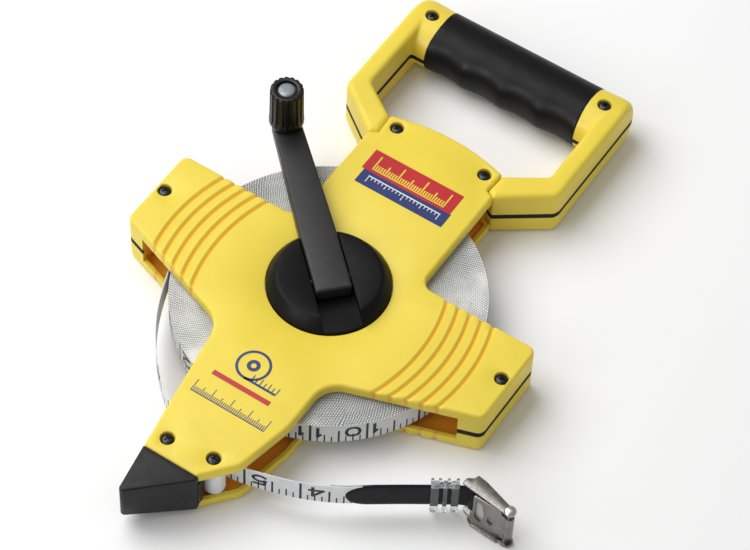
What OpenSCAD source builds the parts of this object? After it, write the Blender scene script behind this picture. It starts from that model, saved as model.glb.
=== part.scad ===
// Open-frame surveyor's tape reel, lying on its back.
// Origin: on the reel axis, on the flat back face. X across the two side arms,
// Y along the body from the pointed tip (-Y) to the hand grip (+Y), Z out of the front face.

/* [Frame] */
// Thickness over both halves of the frame
frame_t = 27; // [26.5:0.5:28]
// Reel axis to the end of each side arm
arm_reach = 96.5; // [94:0.5:99]
// Reel axis to the upper edge of the side arms
arm_top = 22.5; // [21:0.5:24]
// Reel axis to the lower corner at the arm's end
arm_low = 21.3; // [20:0.1:22]
// Half the width of the neck that runs to the handle
neck_half = 34.5; // [34:0.5:35]
// Half the width of the leg that runs to the tip, right side
leg_half = 29; // [28:0.5:30]
// Wall thickness of the two halves
wall_t = 2.4; // [2:0.1:2.8]
// Height of the lip that runs round each half
lip_h = 5.5; // [4.5:0.5:6]
// Height of the dark seam strips
strip_h = 2.4; // [1.6:0.2:2.8]
// Grooves across each side arm
rib_count = 5; // [3:1:5]

/* [Handle] */
// Half the width over the handle's two legs
handle_half = 59.5; // [58:0.5:61]
// Reel axis to the middle of the hand bar
bar_y = 160.3; // [159:0.1:163]
// Half the depth of the hand bar, along Y
bar_a = 15.7; // [15:0.1:17]
// Half the length of the rubber grip
grip_half = 42.3; // [40:0.1:43]
// Thickness of the rubber grip
grip_t = 2.7; // [2.2:0.1:3]

/* [Tape] */
// Width of the tape
tape_w = 13; // [12:0.5:13]
// Outer radius of the wound tape
roll_r = 72.6; // [65:0.1:72.6]
// Radius of the drum under the tape
drum_r = 33; // [31:0.5:36]
// Thickness of the tape band
tape_t = 0.6; // [0.4:0.1:0.7]

/* [Crank] */
// Reel axis to the axis of the knob
crank_reach = 88.7; // [86:0.1:91]
// Angle of the crank from +Y, counter-clockwise seen from the front
crank_turn = 47.1; // [40:0.1:55]
// Width of the crank arm at the hub
crank_w = 16.8; // [15:0.1:17]
// Radius of the hub where it leaves the frame
hub_r = 28.4; // [27:0.1:28.6]
// Radius of the knob
knob_r = 7.75; // [7:0.05:8]
// Height of the knob
knob_h = 22.6; // [20:0.2:26]

/* [Hidden] */
$fn = 64;

yellow = [0.96, 0.84, 0.22];
black = [0.07, 0.07, 0.08];
rubber_black = [0.05, 0.05, 0.06];
steel = [0.62, 0.62, 0.63];
dark_steel = [0.35, 0.33, 0.32];
brass = [0.75, 0.6, 0.3];
tape_white = [0.85, 0.86, 0.86];
print_red = [0.85, 0.25, 0.25];

eps = 0.01;
big = 400;
turn_step = 6;              // degrees between the points of a rounded corner

seam_z = 12;                // middle of the dark strips
front_depth = frame_t - seam_z;
back_depth = seam_z;
lip_gap = 0.2;              // play under a lip
fit_gap = 0.3;              // play between parts that move past each other
plate_back = frame_t - wall_t;

// Outline of both frame halves: corner points, counter-clockwise, each with its radius
seam_x = 30.3;              // where the handle's root meets the neck
top_x = 31;
top_y = 98;
top_arc_r = 100;
top_arc_turn = 15.5;        // how far the arc leans over at its two ends
tip_y = -117.5;             // seam between the frame and the tip
tip_left = -17.6;
tip_right = 10.6;
frame_corners = [
    [tip_right, tip_y, 1.5],
    [23.2, -102.5, 7],
    [leg_half, -74, 30],
    [leg_half, -45.2, 13],
    [arm_reach, -arm_low, 4],
    [arm_reach, arm_top, 4],
    [neck_half, arm_top, 6],
    [neck_half, 84, 1],
    [seam_x, 86.2, 0.5],
    [top_x, top_y, 1],
    [0, top_y + top_x * tan(top_arc_turn), top_arc_r],
    [-top_x, top_y, 1],
    [-seam_x, 86.2, 0.5],
    [-neck_half, 84, 1],
    [-neck_half, arm_top, 6],
    [-arm_reach, arm_top, 4],
    [-arm_reach, -arm_low, 4],
    [-29.2, -45, 14],
    [tip_left, tip_y, 1.5],
];

// Closed box at the end of each side arm
box_x = 85.8;
cross_wall_t = 2.2;
strip_w = 3;
strip_recess = 0.2;

// Curved grooves across each side arm
rib_arc_r = 88;
rib_centre_y = -8;
rib_first_x = 54.7;
rib_last_x = 79;
rib_w = 2.2;
rib_depth = 1.1;
rib_from_x = 40;            // the grooves' circles only cut the arm beyond here

// Screws
neck_screw = [24.3, 93];
arm_screw = [91.8, 0.6];
tip_screw = [-11, -109];
roller_at = [11.5, -106];
frame_screw_at = [
    arm_screw, [-arm_screw[0], arm_screw[1]],
    neck_screw, [-neck_screw[0], neck_screw[1]],
    tip_screw, roller_at,
];
handle_screw_at = [[48.6, bar_y + 1], [-48.6, bar_y + 1]];
post_r = 4;
roller_post_r = 3;
roller_shoulder_r = 4.1;
shank_r = 1.5;
shank_hole_r = 1.65;
head_r = 3.1;
head_h = 1.6;
head_sink = 0.4;            // top of the head below the front face
head_well_r = 3.4;
head_well_h = 2;

// Tip of the body
tip_apex = [-13.2, -143.8];
tip_corner_x = 11.6;        // its right corner stands a little proud of the frame
tip_top_z = 26.7;
tip_low_root_z = 2.5;       // the underside rises from the seam to the point
tip_low_apex_z = 7;
tongue_h = frame_t - 2 * lip_h - 2 * lip_gap;

// Mouth roller
roller_r = 5.1;
roller_bore_r = 3.06;
roller_z = 5.8;             // the roller runs between the lips

// Handle
bar_b = frame_t / 2;        // half the height of the hand bar
handle_top = bar_y + bar_a;
leg_inner = 49.7;           // inner side of the handle's legs
handle_corner_r = 6;
seam_play = 0.15;           // gap between the handle's root and the neck
leg_corners = [
    [seam_x + seam_play, 86.4, 0.5],
    [neck_half + seam_play, 83.9, 0.5],
    [handle_half - 1.2, 101.2, 3],
    [handle_half, 104, 3],
    [handle_half, bar_y, 0],
    [leg_inner, bar_y, 0],
    [leg_inner, 110, 3],
    [top_x + seam_play, 97.4, 0.5],
];
handle_plan_corners = [
    [neck_half + seam_play, 83.9, 0.5],
    [handle_half - 1.2, 101.2, 3],
    [handle_half, 104, 3],
    [handle_half, handle_top, handle_corner_r],
    [-handle_half, handle_top, handle_corner_r],
    [-handle_half, 104, 3],
    [-handle_half + 1.2, 101.2, 3],
    [-neck_half - seam_play, 83.9, 0.5],
];
grip_a = bar_a + 0.6;
seat_play = 0.05;
scallop_count = 4;
scallop_depth = 1.3;
scallop_pitch = 2 * grip_half / scallop_count;
scallop_r = scallop_depth / 2 + scallop_pitch * scallop_pitch / (8 * scallop_depth);

// Reel
roll_z = 7.3;               // lower side of the wound tape
roll_front = roll_z + tape_w;
axle_r = 4;
bush_r = 6;
drum_hub_r = 9;
drum_wall = 2.2;
drum_hub_top = 17.4;
axle_top = 17.6;
axle_washer_h = 0.8;
thrust_h = 0.4;
boss_top = roll_z - 0.2 - thrust_h - 0.1;
hub_screw_r = 20;
hub_screw_count = 3;
hub_screw_end = 25.5;
anchor_angle = 120;
web_z = 12;                 // web that joins the drum's rim to its hub
web_h = 3;

// Crank hub: a flange under the front plate, a neck through it and a tapered face above it
hub_hole_r = hub_r + 0.4;
hub_flange_r = hub_r + 3.4;
hub_flange_top = 22.9;
hub_base_z = frame_t + 0.4;
hub_face_z = frame_t + 6.8;
hub_face_r = hub_r - 5;
hinge_z = frame_t + 5;
hinge_s = -1.5;             // hinge pin, measured along the crank from the reel axis
hinge_r = 1.2;
hinge_half = 14.7;          // half the length of the hinge pin
crank_t = 7.4;
crank_inner_s = -9.7;       // inner end of the arm
crank_tip_w = 13.2;
channel_w = crank_w + 1.6;
crank_z = hinge_z - crank_t / 2;
channel_z = crank_z - fit_gap;
swing_r = 9.2;              // pocket that the arm's inner end swings through
crank_top = hinge_z + crank_t / 2;
collar_h = 0.7;
knob_z = crank_top + collar_h + 0.1;
knob_top = knob_z + knob_h;
flute_count = 16;
stud_r = 2.5;
stud_head_r = 4.1;
stud_well_r = 4.9;
stud_well_h = 1.6;

// Route of the tape from the roll, round the left side, into the leg and out of the mouth
lead_route = [
    [-72.4, -10], [-71, -17.5], [-68.9, -24.6], [-66.3, -32.2], [-63.3, -40.2],
    [-59.7, -48.4], [-55.2, -56.8], [-49.6, -65.1], [-43, -73], [-35.6, -80.3],
    [-28.4, -86.4], [-20.6, -91.9], [-12.5, -96.4], [-4.5, -99.3], [3.5, -100.4],
    [11.5, -100.4], [18, -99.9], [24.5, -98.6],
];
// Route of the free end, from the mouth to the hook
end_route = [
    [24.6, -98.56], [31, -96.8], [38, -94.6], [45.5, -91.9], [54, -88.1],
    [63.5, -82.8], [70.5, -77.7], [77, -73.1], [84.5, -67.8], [94.6, -60.9],
    [100, -57.3], [105, -54], [106.5, -53.1],
];
sleeve_first = 5;           // route point where the dark sleeve starts
collar_first = 9;           // route points between which the clear collar sits
collar_last = 11;
sleeve_t = 1.8;
sleeve_w = 14.4;
clip_t = 3.2;
clip_rib_t = 4.4;
clip_z = [5.4, 22];         // bottom and top of the clip between its ribs
clip_rib_z = [2, 22.4];     // and at its ribs
clip_ribs = 3;
clip_rib_len = 2.6;

// Hook at the end of the tape
hook_h = 25;
hook_plate_t = 1.2;
loop_pin_at = [111, -51.3];
loop_pin_r = 1;
loop_r = 2.5;
hinge_pin_at = [131, -54.6];
hinge_pin_r = 1.1;
barrel_r = 2.2;
rivet_head_r = 2.8;
rivet_head_h = 1;
claw_y = -56.2;
claw_left = 111.4;
bracket_corners = [
    [106.1, -54.1, 1.2],
    [hinge_pin_at[0] - 1.2, hinge_pin_at[1] - barrel_r, 0.4],
    [hinge_pin_at[0] + barrel_r, hinge_pin_at[1] - 1, 1.2],
    [hinge_pin_at[0] + 1, hinge_pin_at[1] + barrel_r + 0.4, 1],
    [110.2, -46.6, 1],
    [109.2, -49.3, 1],
    [106.4, -50.5, 1.5],
];
web_corners = [
    [110.4, -48.3, 0], [128, -52.9, 0], [128, -51.7, 0], [110.4, -47.1, 0],
];

// ---- Outlines ----

function xy(corner) = [corner[0], corner[1]];
function unit(v) = v / norm(v);
function left_of(v) = [-v[1], v[0]];

function arc_points(centre, r, from, sweep) =
    let (steps = max(2, ceil(abs(sweep) / turn_step)))
    [for (k = [0:steps]) centre + r * [cos(from + sweep * k / steps), sin(from + sweep * k / steps)]];

// The points of one corner, rounded to its radius
function corner_points(before, here, after, r) =
    let (
        a = unit(before - here),
        b = unit(after - here),
        half = acos(a * b) / 2,
        turns_left = cross(-a, b) > 0,
        centre = here + unit(a + b) * r / sin(half),
        start = here + a * r / tan(half) - centre
    )
    r <= 0 ? [here]
    : arc_points(centre, r, atan2(start[1], start[0]), (turns_left ? 1 : -1) * (180 - 2 * half));

function rounded(corners) =
    let (n = len(corners))
    [for (i = [0:n - 1]) each corner_points(
        xy(corners[(i + n - 1) % n]), xy(corners[i]), xy(corners[(i + 1) % n]), corners[i][2])];

// The same outline, moved inwards by d
function inset(corners, d) =
    let (n = len(corners))
    [for (i = [0:n - 1])
        let (
            here = xy(corners[i]),
            arriving = unit(here - xy(corners[(i + n - 1) % n])),
            leaving = unit(xy(corners[(i + 1) % n]) - here),
            n1 = left_of(arriving),
            n2 = left_of(leaving),
            moved = here + d * (n1 + n2) / (1 + n1 * n2),
            r = corners[i][2]
        )
        [moved[0], moved[1], r <= 0 ? 0 : cross(arriving, leaving) > 0 ? max(r - d, 0.3) : r + d]];

// Direction of a route at point i
function heading(route, i) =
    unit(route[min(i + 1, len(route) - 1)] - route[max(i - 1, 0)]);

// Outline of a band of thickness t that follows a route between two of its points
function band(route, first, last, t) = concat(
    [for (i = [first:last]) route[i] - left_of(heading(route, i)) * t / 2],
    [for (i = [last:-1:first]) route[i] + left_of(heading(route, i)) * t / 2]);

function ellipse(a, b) = [for (k = [0:7.5:352.5]) [a * cos(k), b * sin(k)]];

// ---- Shared shapes ----

module plate(corners, z, h) {
    translate([0, 0, z]) linear_extrude(h) polygon(rounded(corners));
}

module rod(at, r, z, h) {
    translate([at[0], at[1], z]) cylinder(r = r, h = h);
}

module tube(at, r, bore, z, h) {
    difference() {
        rod(at, r, z, h);
        rod(at, bore, z - 1, h + 2);
    }
}

module both_sides() {
    children();
    mirror([1, 0, 0]) children();
}

// Turns a shape modelled with its outer face on z = 0 into the front half
module from_front() {
    translate([0, 0, frame_t]) mirror([0, 0, 1]) children();
}

module screw(at, top, length) {
    difference() {
        union() {
            rod(at, head_r, top - head_h, head_h);
            rod(at, shank_r, top - head_h - length, length + eps);
        }
        translate([at[0], at[1], top - 0.4]) {
            cube([3.4, 0.7, 1], center = true);
            cube([0.7, 3.4, 1], center = true);
        }
    }
}

// ---- Frame ----

module lip() {
    difference() {
        plate(frame_corners, 0, lip_h);
        plate(inset(frame_corners, wall_t), -1, lip_h + 2);
    }
}

// Closed end of the right arm; its outer walls stop at the seam strip
module arm_box(depth) {
    wall_h = depth - strip_h / 2;
    intersection() {
        difference() {
            plate(frame_corners, 0, wall_h);
            plate(inset(frame_corners, wall_t), wall_t, depth);
        }
        translate([box_x, -big / 2, 0]) cube([big, big, depth]);
    }
    intersection() {
        plate(frame_corners, 0, depth);
        translate([box_x, -big / 2, 0]) cube([cross_wall_t, big, depth]);
    }
}

module rib_grooves() {
    pitch = (rib_last_x - rib_first_x) / (rib_count - 1);
    intersection() {
        for (k = [0:rib_count - 1])
            tube([rib_first_x + k * pitch - rib_arc_r, rib_centre_y], rib_arc_r + rib_w / 2,
                rib_arc_r - rib_w / 2, -1, 1 + rib_depth, $fn = 180);
        translate([rib_from_x, -big / 2, -1]) cube([big, big, 1 + rib_depth]);
    }
}

// One half of the frame, its outer face on z = 0 and its seam at z = depth
module frame_half(depth) {
    difference() {
        union() {
            plate(frame_corners, 0, wall_t);
            lip();
            both_sides() arm_box(depth);
            for (at = frame_screw_at) {
                if (at != roller_at) rod(at, post_r, 0, depth);
            }
            rod(roller_at, roller_post_r, 0, depth);
            rod(roller_at, roller_shoulder_r, 0, roller_z - fit_gap);
        }
        both_sides() rib_grooves();
    }
}

module front_frame() {
    color(yellow) difference() {
        from_front() frame_half(front_depth);
        rod([0, 0], hub_hole_r, plate_back - lip_h, big);
        for (at = frame_screw_at) {
            rod(at, shank_hole_r, 0, big);
            rod(at, head_well_r, frame_t - head_well_h, big);
        }
    }
}

module back_frame() {
    color(yellow) difference() {
        union() {
            frame_half(back_depth);
            rod([0, 0], drum_hub_r, 0, boss_top);
        }
        for (at = frame_screw_at) rod(at, shank_r, wall_t + 1, big);
        rod([0, 0], axle_r, wall_t - 1, big);
    }
}

// Dark strip that closes the seam round the end of an arm
module seam_strip() {
    difference() {
        intersection() {
            plate(inset(frame_corners, strip_recess), seam_z - strip_h / 2, strip_h);
            translate([box_x + cross_wall_t + 0.05, -big / 2, 0]) cube([big, big, frame_t]);
        }
        plate(inset(frame_corners, strip_w), 0, frame_t);
        rod(arm_screw, post_r + 0.05, 0, frame_t);
    }
}

module right_seam_strip() {
    color(rubber_black) seam_strip();
}

module left_seam_strip() {
    color(rubber_black) mirror([1, 0, 0]) seam_strip();
}

// Wedge-shaped tip with a tongue that the frame halves hold
module mouth_tip() {
    mid = frame_t / 2;
    wedge_side = [
        [tip_y - 0.1, tip_low_root_z], [tip_y - 0.1, tip_top_z],
        [tip_apex[1] - 1, tip_top_z], [tip_apex[1] - 1, tip_low_apex_z],
    ];
    wedge_plan = [
        [tip_apex[0], tip_apex[1], 1.8],
        [tip_corner_x, tip_y - 2, 1.5],
        [tip_corner_x - 0.2, tip_y - 0.1, 0.3],
        [tip_left, tip_y - 0.1, 0.5],
    ];
    tongue = [
        [-15.6, tip_y - 1, 0], [11.8, tip_y - 1, 0], [11.8, -115, 1], [7, -112.6, 2],
        [1, -103.4, 2], [-17.2, -103.4, 1.5],
    ];
    color(black) difference() {
        union() {
            intersection() {
                plate(wedge_plan, 0, frame_t);
                rotate([90, 0, 90]) translate([0, 0, -big / 2]) linear_extrude(big) polygon(wedge_side);
            }
            plate(tongue, mid - tongue_h / 2, tongue_h);
        }
        rod(tip_screw, post_r + 0.1, 0, big);
        rod(roller_at, roller_r + 0.5, 0, big);
    }
}

module mouth_roller() {
    color("white") tube(roller_at, roller_r, roller_bore_r, roller_z, frame_t - 2 * roller_z);
}

module frame_screws() {
    color(black) for (at = frame_screw_at) screw(at, frame_t - head_sink, 19);
}

// Two-band sticker on the neck
module front_label() {
    label = [[-24.3, 55.4, 1], [24.3, 55.4, 1], [24.3, 76.5, 1], [-24.3, 76.5, 1]];
    color(print_red) plate(label, frame_t, 0.15);
}

// ---- Handle ----

// Elliptical bar along X between two stations, in a half whose outer face is z = 0
module bar(a, b, from_x, to_x) {
    translate([from_x, bar_y, bar_b]) rotate([90, 0, 90])
        linear_extrude(to_x - from_x) polygon(ellipse(a, b));
}

// One half of the handle, its outer face on z = 0
module handle_half_shell(depth) {
    wall_h = depth - strip_h / 2;
    difference() {
        intersection() {
            union() {
                both_sides() {
                    plate(leg_corners, 0, frame_t);
                    bar(bar_a, bar_b, grip_half + seat_play, handle_half);
                }
                bar(grip_a - grip_t - seat_play, bar_b - grip_t - seat_play, -grip_half - 1, grip_half + 1);
            }
            plate(handle_plan_corners, 0, wall_h);
        }
        both_sides() translate([leg_inner + wall_t, 108, wall_t])
            cube([handle_half - leg_inner - 2 * wall_t, 40, big]);
        bar(bar_a - grip_t - wall_t, bar_b - grip_t - wall_t, -grip_half + 3, grip_half - 3);
        for (at = handle_screw_at) rod(at, shank_r, wall_t + 1, big);
        for (at = frame_screw_at) rod(at, post_r + 0.15, -1, big);
    }
    both_sides() difference() {
        translate([18, 87.4, lip_h + lip_gap])
            cube([seam_x + 2 - 18, 9.6, wall_h - lip_h - lip_gap]);
        rod(neck_screw, post_r + 0.15, -1, big);
    }
}

module handle_front_shell() {
    color(yellow) difference() {
        from_front() handle_half_shell(front_depth);
        for (at = handle_screw_at) {
            rod(at, shank_hole_r, 0, big);
            rod(at, head_well_r, frame_t - head_well_h, big);
        }
    }
}

module handle_back_shell() {
    color(yellow) handle_half_shell(back_depth);
}

module handle_seam_strip() {
    bar_half = bar_a - 0.4;
    seat_half = bar_a - grip_t + 0.1;
    color(rubber_black) difference() {
        intersection() {
            union() {
                both_sides() {
                    plate(inset(leg_corners, strip_recess), seam_z - strip_h / 2, strip_h);
                    translate([grip_half + seat_play, bar_y - bar_half, seam_z - strip_h / 2])
                        cube([handle_half - grip_half - seat_play, 2 * bar_half, strip_h]);
                }
                translate([-grip_half - 1, bar_y - seat_half, seam_z - strip_h / 2])
                    cube([2 * grip_half + 2, 2 * seat_half, strip_h]);
            }
            plate(inset(handle_plan_corners, strip_recess), 0, frame_t);
        }
        both_sides() translate([leg_inner + wall_t, 108, 0])
            cube([handle_half - leg_inner - 2 * wall_t, 40, frame_t]);
        for (at = handle_screw_at) rod(at, shank_hole_r, 0, frame_t);
    }
}

// Rubber sleeve on the bar, with finger hollows on the side that faces the body
module handle_grip() {
    color(rubber_black) difference() {
        bar(grip_a, bar_b, -grip_half, grip_half);
        bar(grip_a - grip_t, bar_b - grip_t, -grip_half - 1, grip_half + 1);
        for (k = [0:scallop_count - 1]) {
            rod([-grip_half + (k + 0.5) * scallop_pitch, bar_y - grip_a + scallop_depth - scallop_r],
                scallop_r, -1, frame_t + 2);
        }
    }
}

module handle_screws() {
    color(black) for (at = handle_screw_at) screw(at, frame_t - head_sink, 17);
}

// ---- Reel ----

module reel_axle() {
    color(steel) rod([0, 0], axle_r, wall_t - 1, axle_top - wall_t + 1);
}

module axle_washer() {
    color(steel) tube([0, 0], bush_r + 1.5, shank_hole_r, axle_top, axle_washer_h);
}

module axle_screw() {
    color(steel) difference() {
        union() {
            rod([0, 0], head_r, axle_top + axle_washer_h, head_h);
            rod([0, 0], shank_r, axle_top, axle_washer_h + eps);
        }
        translate([0, 0, axle_top + axle_washer_h + head_h]) cube([4, 0.8, 1.2], center = true);
    }
}

module rear_thrust_ring() {
    color("white") tube([0, 0], drum_hub_r - 0.5, axle_r + 0.3, boss_top + 0.05, thrust_h);
}

module front_thrust_ring() {
    color("white") tube([0, 0], hub_flange_r, hub_r + 0.1, hub_flange_top + 0.05,
        plate_back - hub_flange_top - 0.1);
}

module spool_drum() {
    color(black) difference() {
        union() {
            tube([0, 0], drum_r, drum_r - drum_wall, roll_z, tape_w);
            rod([0, 0], drum_hub_r, roll_z + 0.2, drum_hub_top - roll_z - 0.2);
            rod([0, 0], drum_r - eps, web_z, web_h);
            for (k = [0:hub_screw_count - 1])
                rotate([0, 0, k * 360 / hub_screw_count])
                    rod([hub_screw_r, 0], post_r, web_z, roll_front - web_z - 0.2);
        }
        rod([0, 0], bush_r, 0, big);
        for (k = [0:hub_screw_count - 1])
            rotate([0, 0, k * 360 / hub_screw_count]) rod([hub_screw_r, 0], shank_hole_r, 0, big);
        rotate([0, 0, anchor_angle]) rod([drum_r - 0.6, 0], 1.3, 0, big);
    }
}

module drum_bush() {
    color(brass) tube([0, 0], bush_r, axle_r + 0.05, roll_z + 0.2, drum_hub_top - roll_z - 0.2);
}

module tape_anchor_pin() {
    color(steel) rotate([0, 0, anchor_angle]) rod([drum_r - 0.6, 0], 1.2, roll_z + 0.3, tape_w - 0.6);
}

module tape_roll() {
    color(tape_white) tube([0, 0], roll_r, drum_r + 0.7, roll_z, tape_w);
}

// ---- Crank ----

// Places a shape modelled along +X from the reel axis along the crank
module along_crank() {
    rotate([0, 0, 90 + crank_turn]) children();
}

module crank_hub() {
    color(black) difference() {
        union() {
            rod([0, 0], hub_flange_r, roll_front, hub_flange_top - roll_front);
            rod([0, 0], hub_r, roll_front, hub_base_z - roll_front);
            translate([0, 0, hub_base_z])
                cylinder(r1 = hub_r, r2 = hub_face_r, h = hub_face_z - hub_base_z, $fn = 96);
        }
        rod([0, 0], bush_r + 3, 0, roll_front + 1);
        along_crank() {
            translate([-big / 2, -channel_w / 2, channel_z]) cube([big, channel_w, big]);
            translate([hinge_s, channel_w / 2, hinge_z]) rotate([90, 0, 0])
                cylinder(r = swing_r, h = channel_w);
            hinge_rod();
        }
        for (k = [0:hub_screw_count - 1])
            rotate([0, 0, k * 360 / hub_screw_count]) rod([hub_screw_r, 0], shank_r, 0, hub_screw_end);
    }
}

// Screws that go in from behind, through the drum's web into the hub
module hub_screws() {
    color(steel) for (k = [0:hub_screw_count - 1])
        rotate([0, 0, k * 360 / hub_screw_count])
            translate([0, 0, web_z - head_h]) mirror([0, 0, 1])
                screw([hub_screw_r, 0], 0, hub_screw_end - web_z);
}

module hinge_rod() {
    translate([hinge_s, hinge_half, hinge_z]) rotate([90, 0, 0])
        cylinder(r = hinge_r, h = 2 * hinge_half);
}

module crank_hinge_pin() {
    color(steel) along_crank() hinge_rod();
}

module crank_arm() {
    arm_plan = [
        [crank_inner_s, -crank_w / 2, 0.6],
        [25, -crank_w / 2, 60],
        [crank_reach + crank_tip_w / 2, -crank_tip_w / 2, crank_tip_w / 2 - 0.1],
        [crank_reach + crank_tip_w / 2, crank_tip_w / 2, crank_tip_w / 2 - 0.1],
        [25, crank_w / 2, 60],
        [crank_inner_s, crank_w / 2, 0.6],
    ];
    color(black) along_crank() difference() {
        plate(arm_plan, crank_z, crank_t);
        translate([hinge_s, big / 2, hinge_z]) rotate([90, 0, 0]) cylinder(r = hinge_r + 0.05, h = big);
        rod([crank_reach, 0], stud_r + 0.02, 0, big);
    }
}

module knob_stud() {
    head_z = knob_top - stud_well_h + 0.1;
    dome = [
        [0, head_z + 1.9], [stud_head_r * 0.5, head_z + 1.6], [stud_head_r * 0.85, head_z + 0.9],
        [stud_head_r, head_z], [stud_r, head_z], [stud_r, crank_z + 0.2], [0, crank_z + 0.2],
    ];
    color(steel) along_crank() translate([crank_reach, 0, 0]) rotate_extrude() polygon(dome);
}

module knob_collar() {
    color(black) along_crank() tube([crank_reach, 0], crank_tip_w / 2, stud_r, crank_top, collar_h);
}

module crank_knob() {
    foot_h = 3;
    color(black) along_crank() translate([crank_reach, 0, 0]) difference() {
        union() {
            rod([0, 0], knob_r, knob_z, knob_h);
            rod([0, 0], knob_r + 0.3, knob_z, foot_h);
        }
        rod([0, 0], stud_r + 0.06, 0, big);
        rod([0, 0], stud_well_r, knob_top - stud_well_h, big);
        for (k = [0:flute_count - 1])
            rotate([0, 0, k * 360 / flute_count]) rod([knob_r + 0.25, 0], 0.8, knob_z + foot_h, big);
    }
}

// ---- Tape ----

module tape_band(route, first, last, t, w) {
    translate([0, 0, roll_z + (tape_w - w) / 2]) linear_extrude(w) polygon(band(route, first, last, t));
}

module tape_lead() {
    color(tape_white) tape_band(lead_route, 0, len(lead_route) - 1, tape_t, tape_w);
}

module tape_end() {
    color(tape_white) tape_band(end_route, 0, len(end_route) - 1, tape_t, tape_w);
}

module end_sleeve() {
    sleeve_route = concat(end_route, [loop_pin_at]);
    last = len(sleeve_route) - 1;
    color(rubber_black) difference() {
        union() {
            tape_band(sleeve_route, sleeve_first, last, sleeve_t, sleeve_w);
            rod(loop_pin_at, loop_r, roll_z + (tape_w - sleeve_w) / 2, sleeve_w);
        }
        tape_band(end_route, sleeve_first - 1, len(end_route) - 1, tape_t, tape_w);
        rod(loop_pin_at, loop_pin_r + 0.08, 0, frame_t);
    }
}

// Clear clip that grips the sleeve, with raised ribs round it
module crimp_collar() {
    from = end_route[collar_first];
    to = end_route[collar_last];
    along = unit(to - from);
    length = norm(to - from);
    pitch = (length - clip_rib_len) / (clip_ribs - 1);
    color([0.8, 0.85, 0.85, 0.5]) difference() {
        translate([from[0], from[1], 0]) rotate([0, 0, atan2(along[1], along[0])]) {
            translate([0, -clip_t / 2, clip_z[0]]) cube([length, clip_t, clip_z[1] - clip_z[0]]);
            for (k = [0:clip_ribs - 1])
                translate([k * pitch, -clip_rib_t / 2, clip_rib_z[0]])
                    cube([clip_rib_len, clip_rib_t, clip_rib_z[1] - clip_rib_z[0]]);
        }
        tape_band(end_route, sleeve_first, len(end_route) - 1, sleeve_t, sleeve_w);
    }
}

// ---- Hook ----

module hook_bracket() {
    color(dark_steel) difference() {
        union() {
            plate(bracket_corners, 0, hook_plate_t);
            plate(bracket_corners, hook_h - hook_plate_t, hook_plate_t);
            plate(web_corners, 0, hook_h);
        }
        rod(loop_pin_at, loop_pin_r, -1, big);
        rod(hinge_pin_at, hinge_pin_r, -1, big);
    }
}

module tape_loop_pin() {
    color(steel) rod(loop_pin_at, loop_pin_r, 0.2, hook_h - 0.4);
}

module hook_pin() {
    color(steel) {
        rod(hinge_pin_at, hinge_pin_r, 0.1, hook_h);
        rod(hinge_pin_at, rivet_head_r, hook_h, rivet_head_h);
    }
}

// Plate that folds out of the bracket about the hinge pin
module hook_claw() {
    z = hook_plate_t + 0.3;
    h = hook_h - 2 * z;
    slot_x = 114;
    slot_w = 3.6;
    color(dark_steel) difference() {
        union() {
            rod(hinge_pin_at, barrel_r, z, h);
            translate([claw_left, claw_y, z]) cube([hinge_pin_at[0] - claw_left, hook_plate_t, h]);
        }
        rod(hinge_pin_at, hinge_pin_r + 0.05, 0, hook_h);
        translate([slot_x, claw_y - 1, 6]) cube([slot_w, 4, 13]);
        translate([120.4, claw_y - 1, 11]) cube([2.4, 4, 2]);
    }
}

front_frame();
back_frame();
left_seam_strip();
right_seam_strip();
mouth_tip();
mouth_roller();
frame_screws();
front_label();
handle_front_shell();
handle_back_shell();
handle_seam_strip();
handle_grip();
handle_screws();
reel_axle();
axle_washer();
axle_screw();
rear_thrust_ring();
front_thrust_ring();
spool_drum();
drum_bush();
tape_anchor_pin();
tape_roll();
crank_hub();
hub_screws();
crank_hinge_pin();
crank_arm();
knob_stud();
knob_collar();
crank_knob();
tape_lead();
tape_end();
end_sleeve();
crimp_collar();
hook_bracket();
tape_loop_pin();
hook_pin();
hook_claw();
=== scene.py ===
"""Looks of an open-frame surveyor's tape reel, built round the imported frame.

Lengths are millimetres in the shared frame unless a name or a docstring says otherwise. new_object()
turns them into metres. The outlines list (x, y, corner radius).
"""

import math
import random

import bmesh
import bpy
from mathutils import Matrix, Vector
from mathutils.geometry import delaunay_2d_cdt


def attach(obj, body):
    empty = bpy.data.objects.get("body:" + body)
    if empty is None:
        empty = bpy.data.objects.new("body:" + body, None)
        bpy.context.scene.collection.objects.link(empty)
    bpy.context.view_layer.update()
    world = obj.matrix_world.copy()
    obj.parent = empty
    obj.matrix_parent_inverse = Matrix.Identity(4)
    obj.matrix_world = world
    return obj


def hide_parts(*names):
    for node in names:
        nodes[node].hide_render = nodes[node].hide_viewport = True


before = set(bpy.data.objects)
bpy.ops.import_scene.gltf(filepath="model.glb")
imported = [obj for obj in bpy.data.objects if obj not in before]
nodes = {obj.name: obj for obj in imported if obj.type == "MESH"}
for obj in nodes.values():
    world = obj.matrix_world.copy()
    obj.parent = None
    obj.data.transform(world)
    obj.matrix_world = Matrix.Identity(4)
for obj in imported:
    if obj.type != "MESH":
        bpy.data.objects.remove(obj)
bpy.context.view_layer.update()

MM = 0.001
FRAME_T = 27.0
SEAM_Z = 12.0
STRIP_H = 3.0
ROLL_Z = 7.3
TAPE_W = 13.0
ROLL_R = 72.6
DRUM_R = 33.0

RIB_ARC_R = 88.0
RIB_CENTRE_Y = -8.0
RIB_FIRST_X = 54.7
RIB_LAST_X = 79.0
RIB_COUNT = 5
RIB_PITCH = (RIB_LAST_X - RIB_FIRST_X) / (RIB_COUNT - 1)
RIB_DEPTH = 1.0
RIB_HALF_W = 1.35           # half width of a groove
RIB_LEAST_X = 40.0          # the grooves lie on the arms, past this
RIB_MOST_Y = 30.0           # and below this


# ---------------------------------------------------------------- camera

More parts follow.
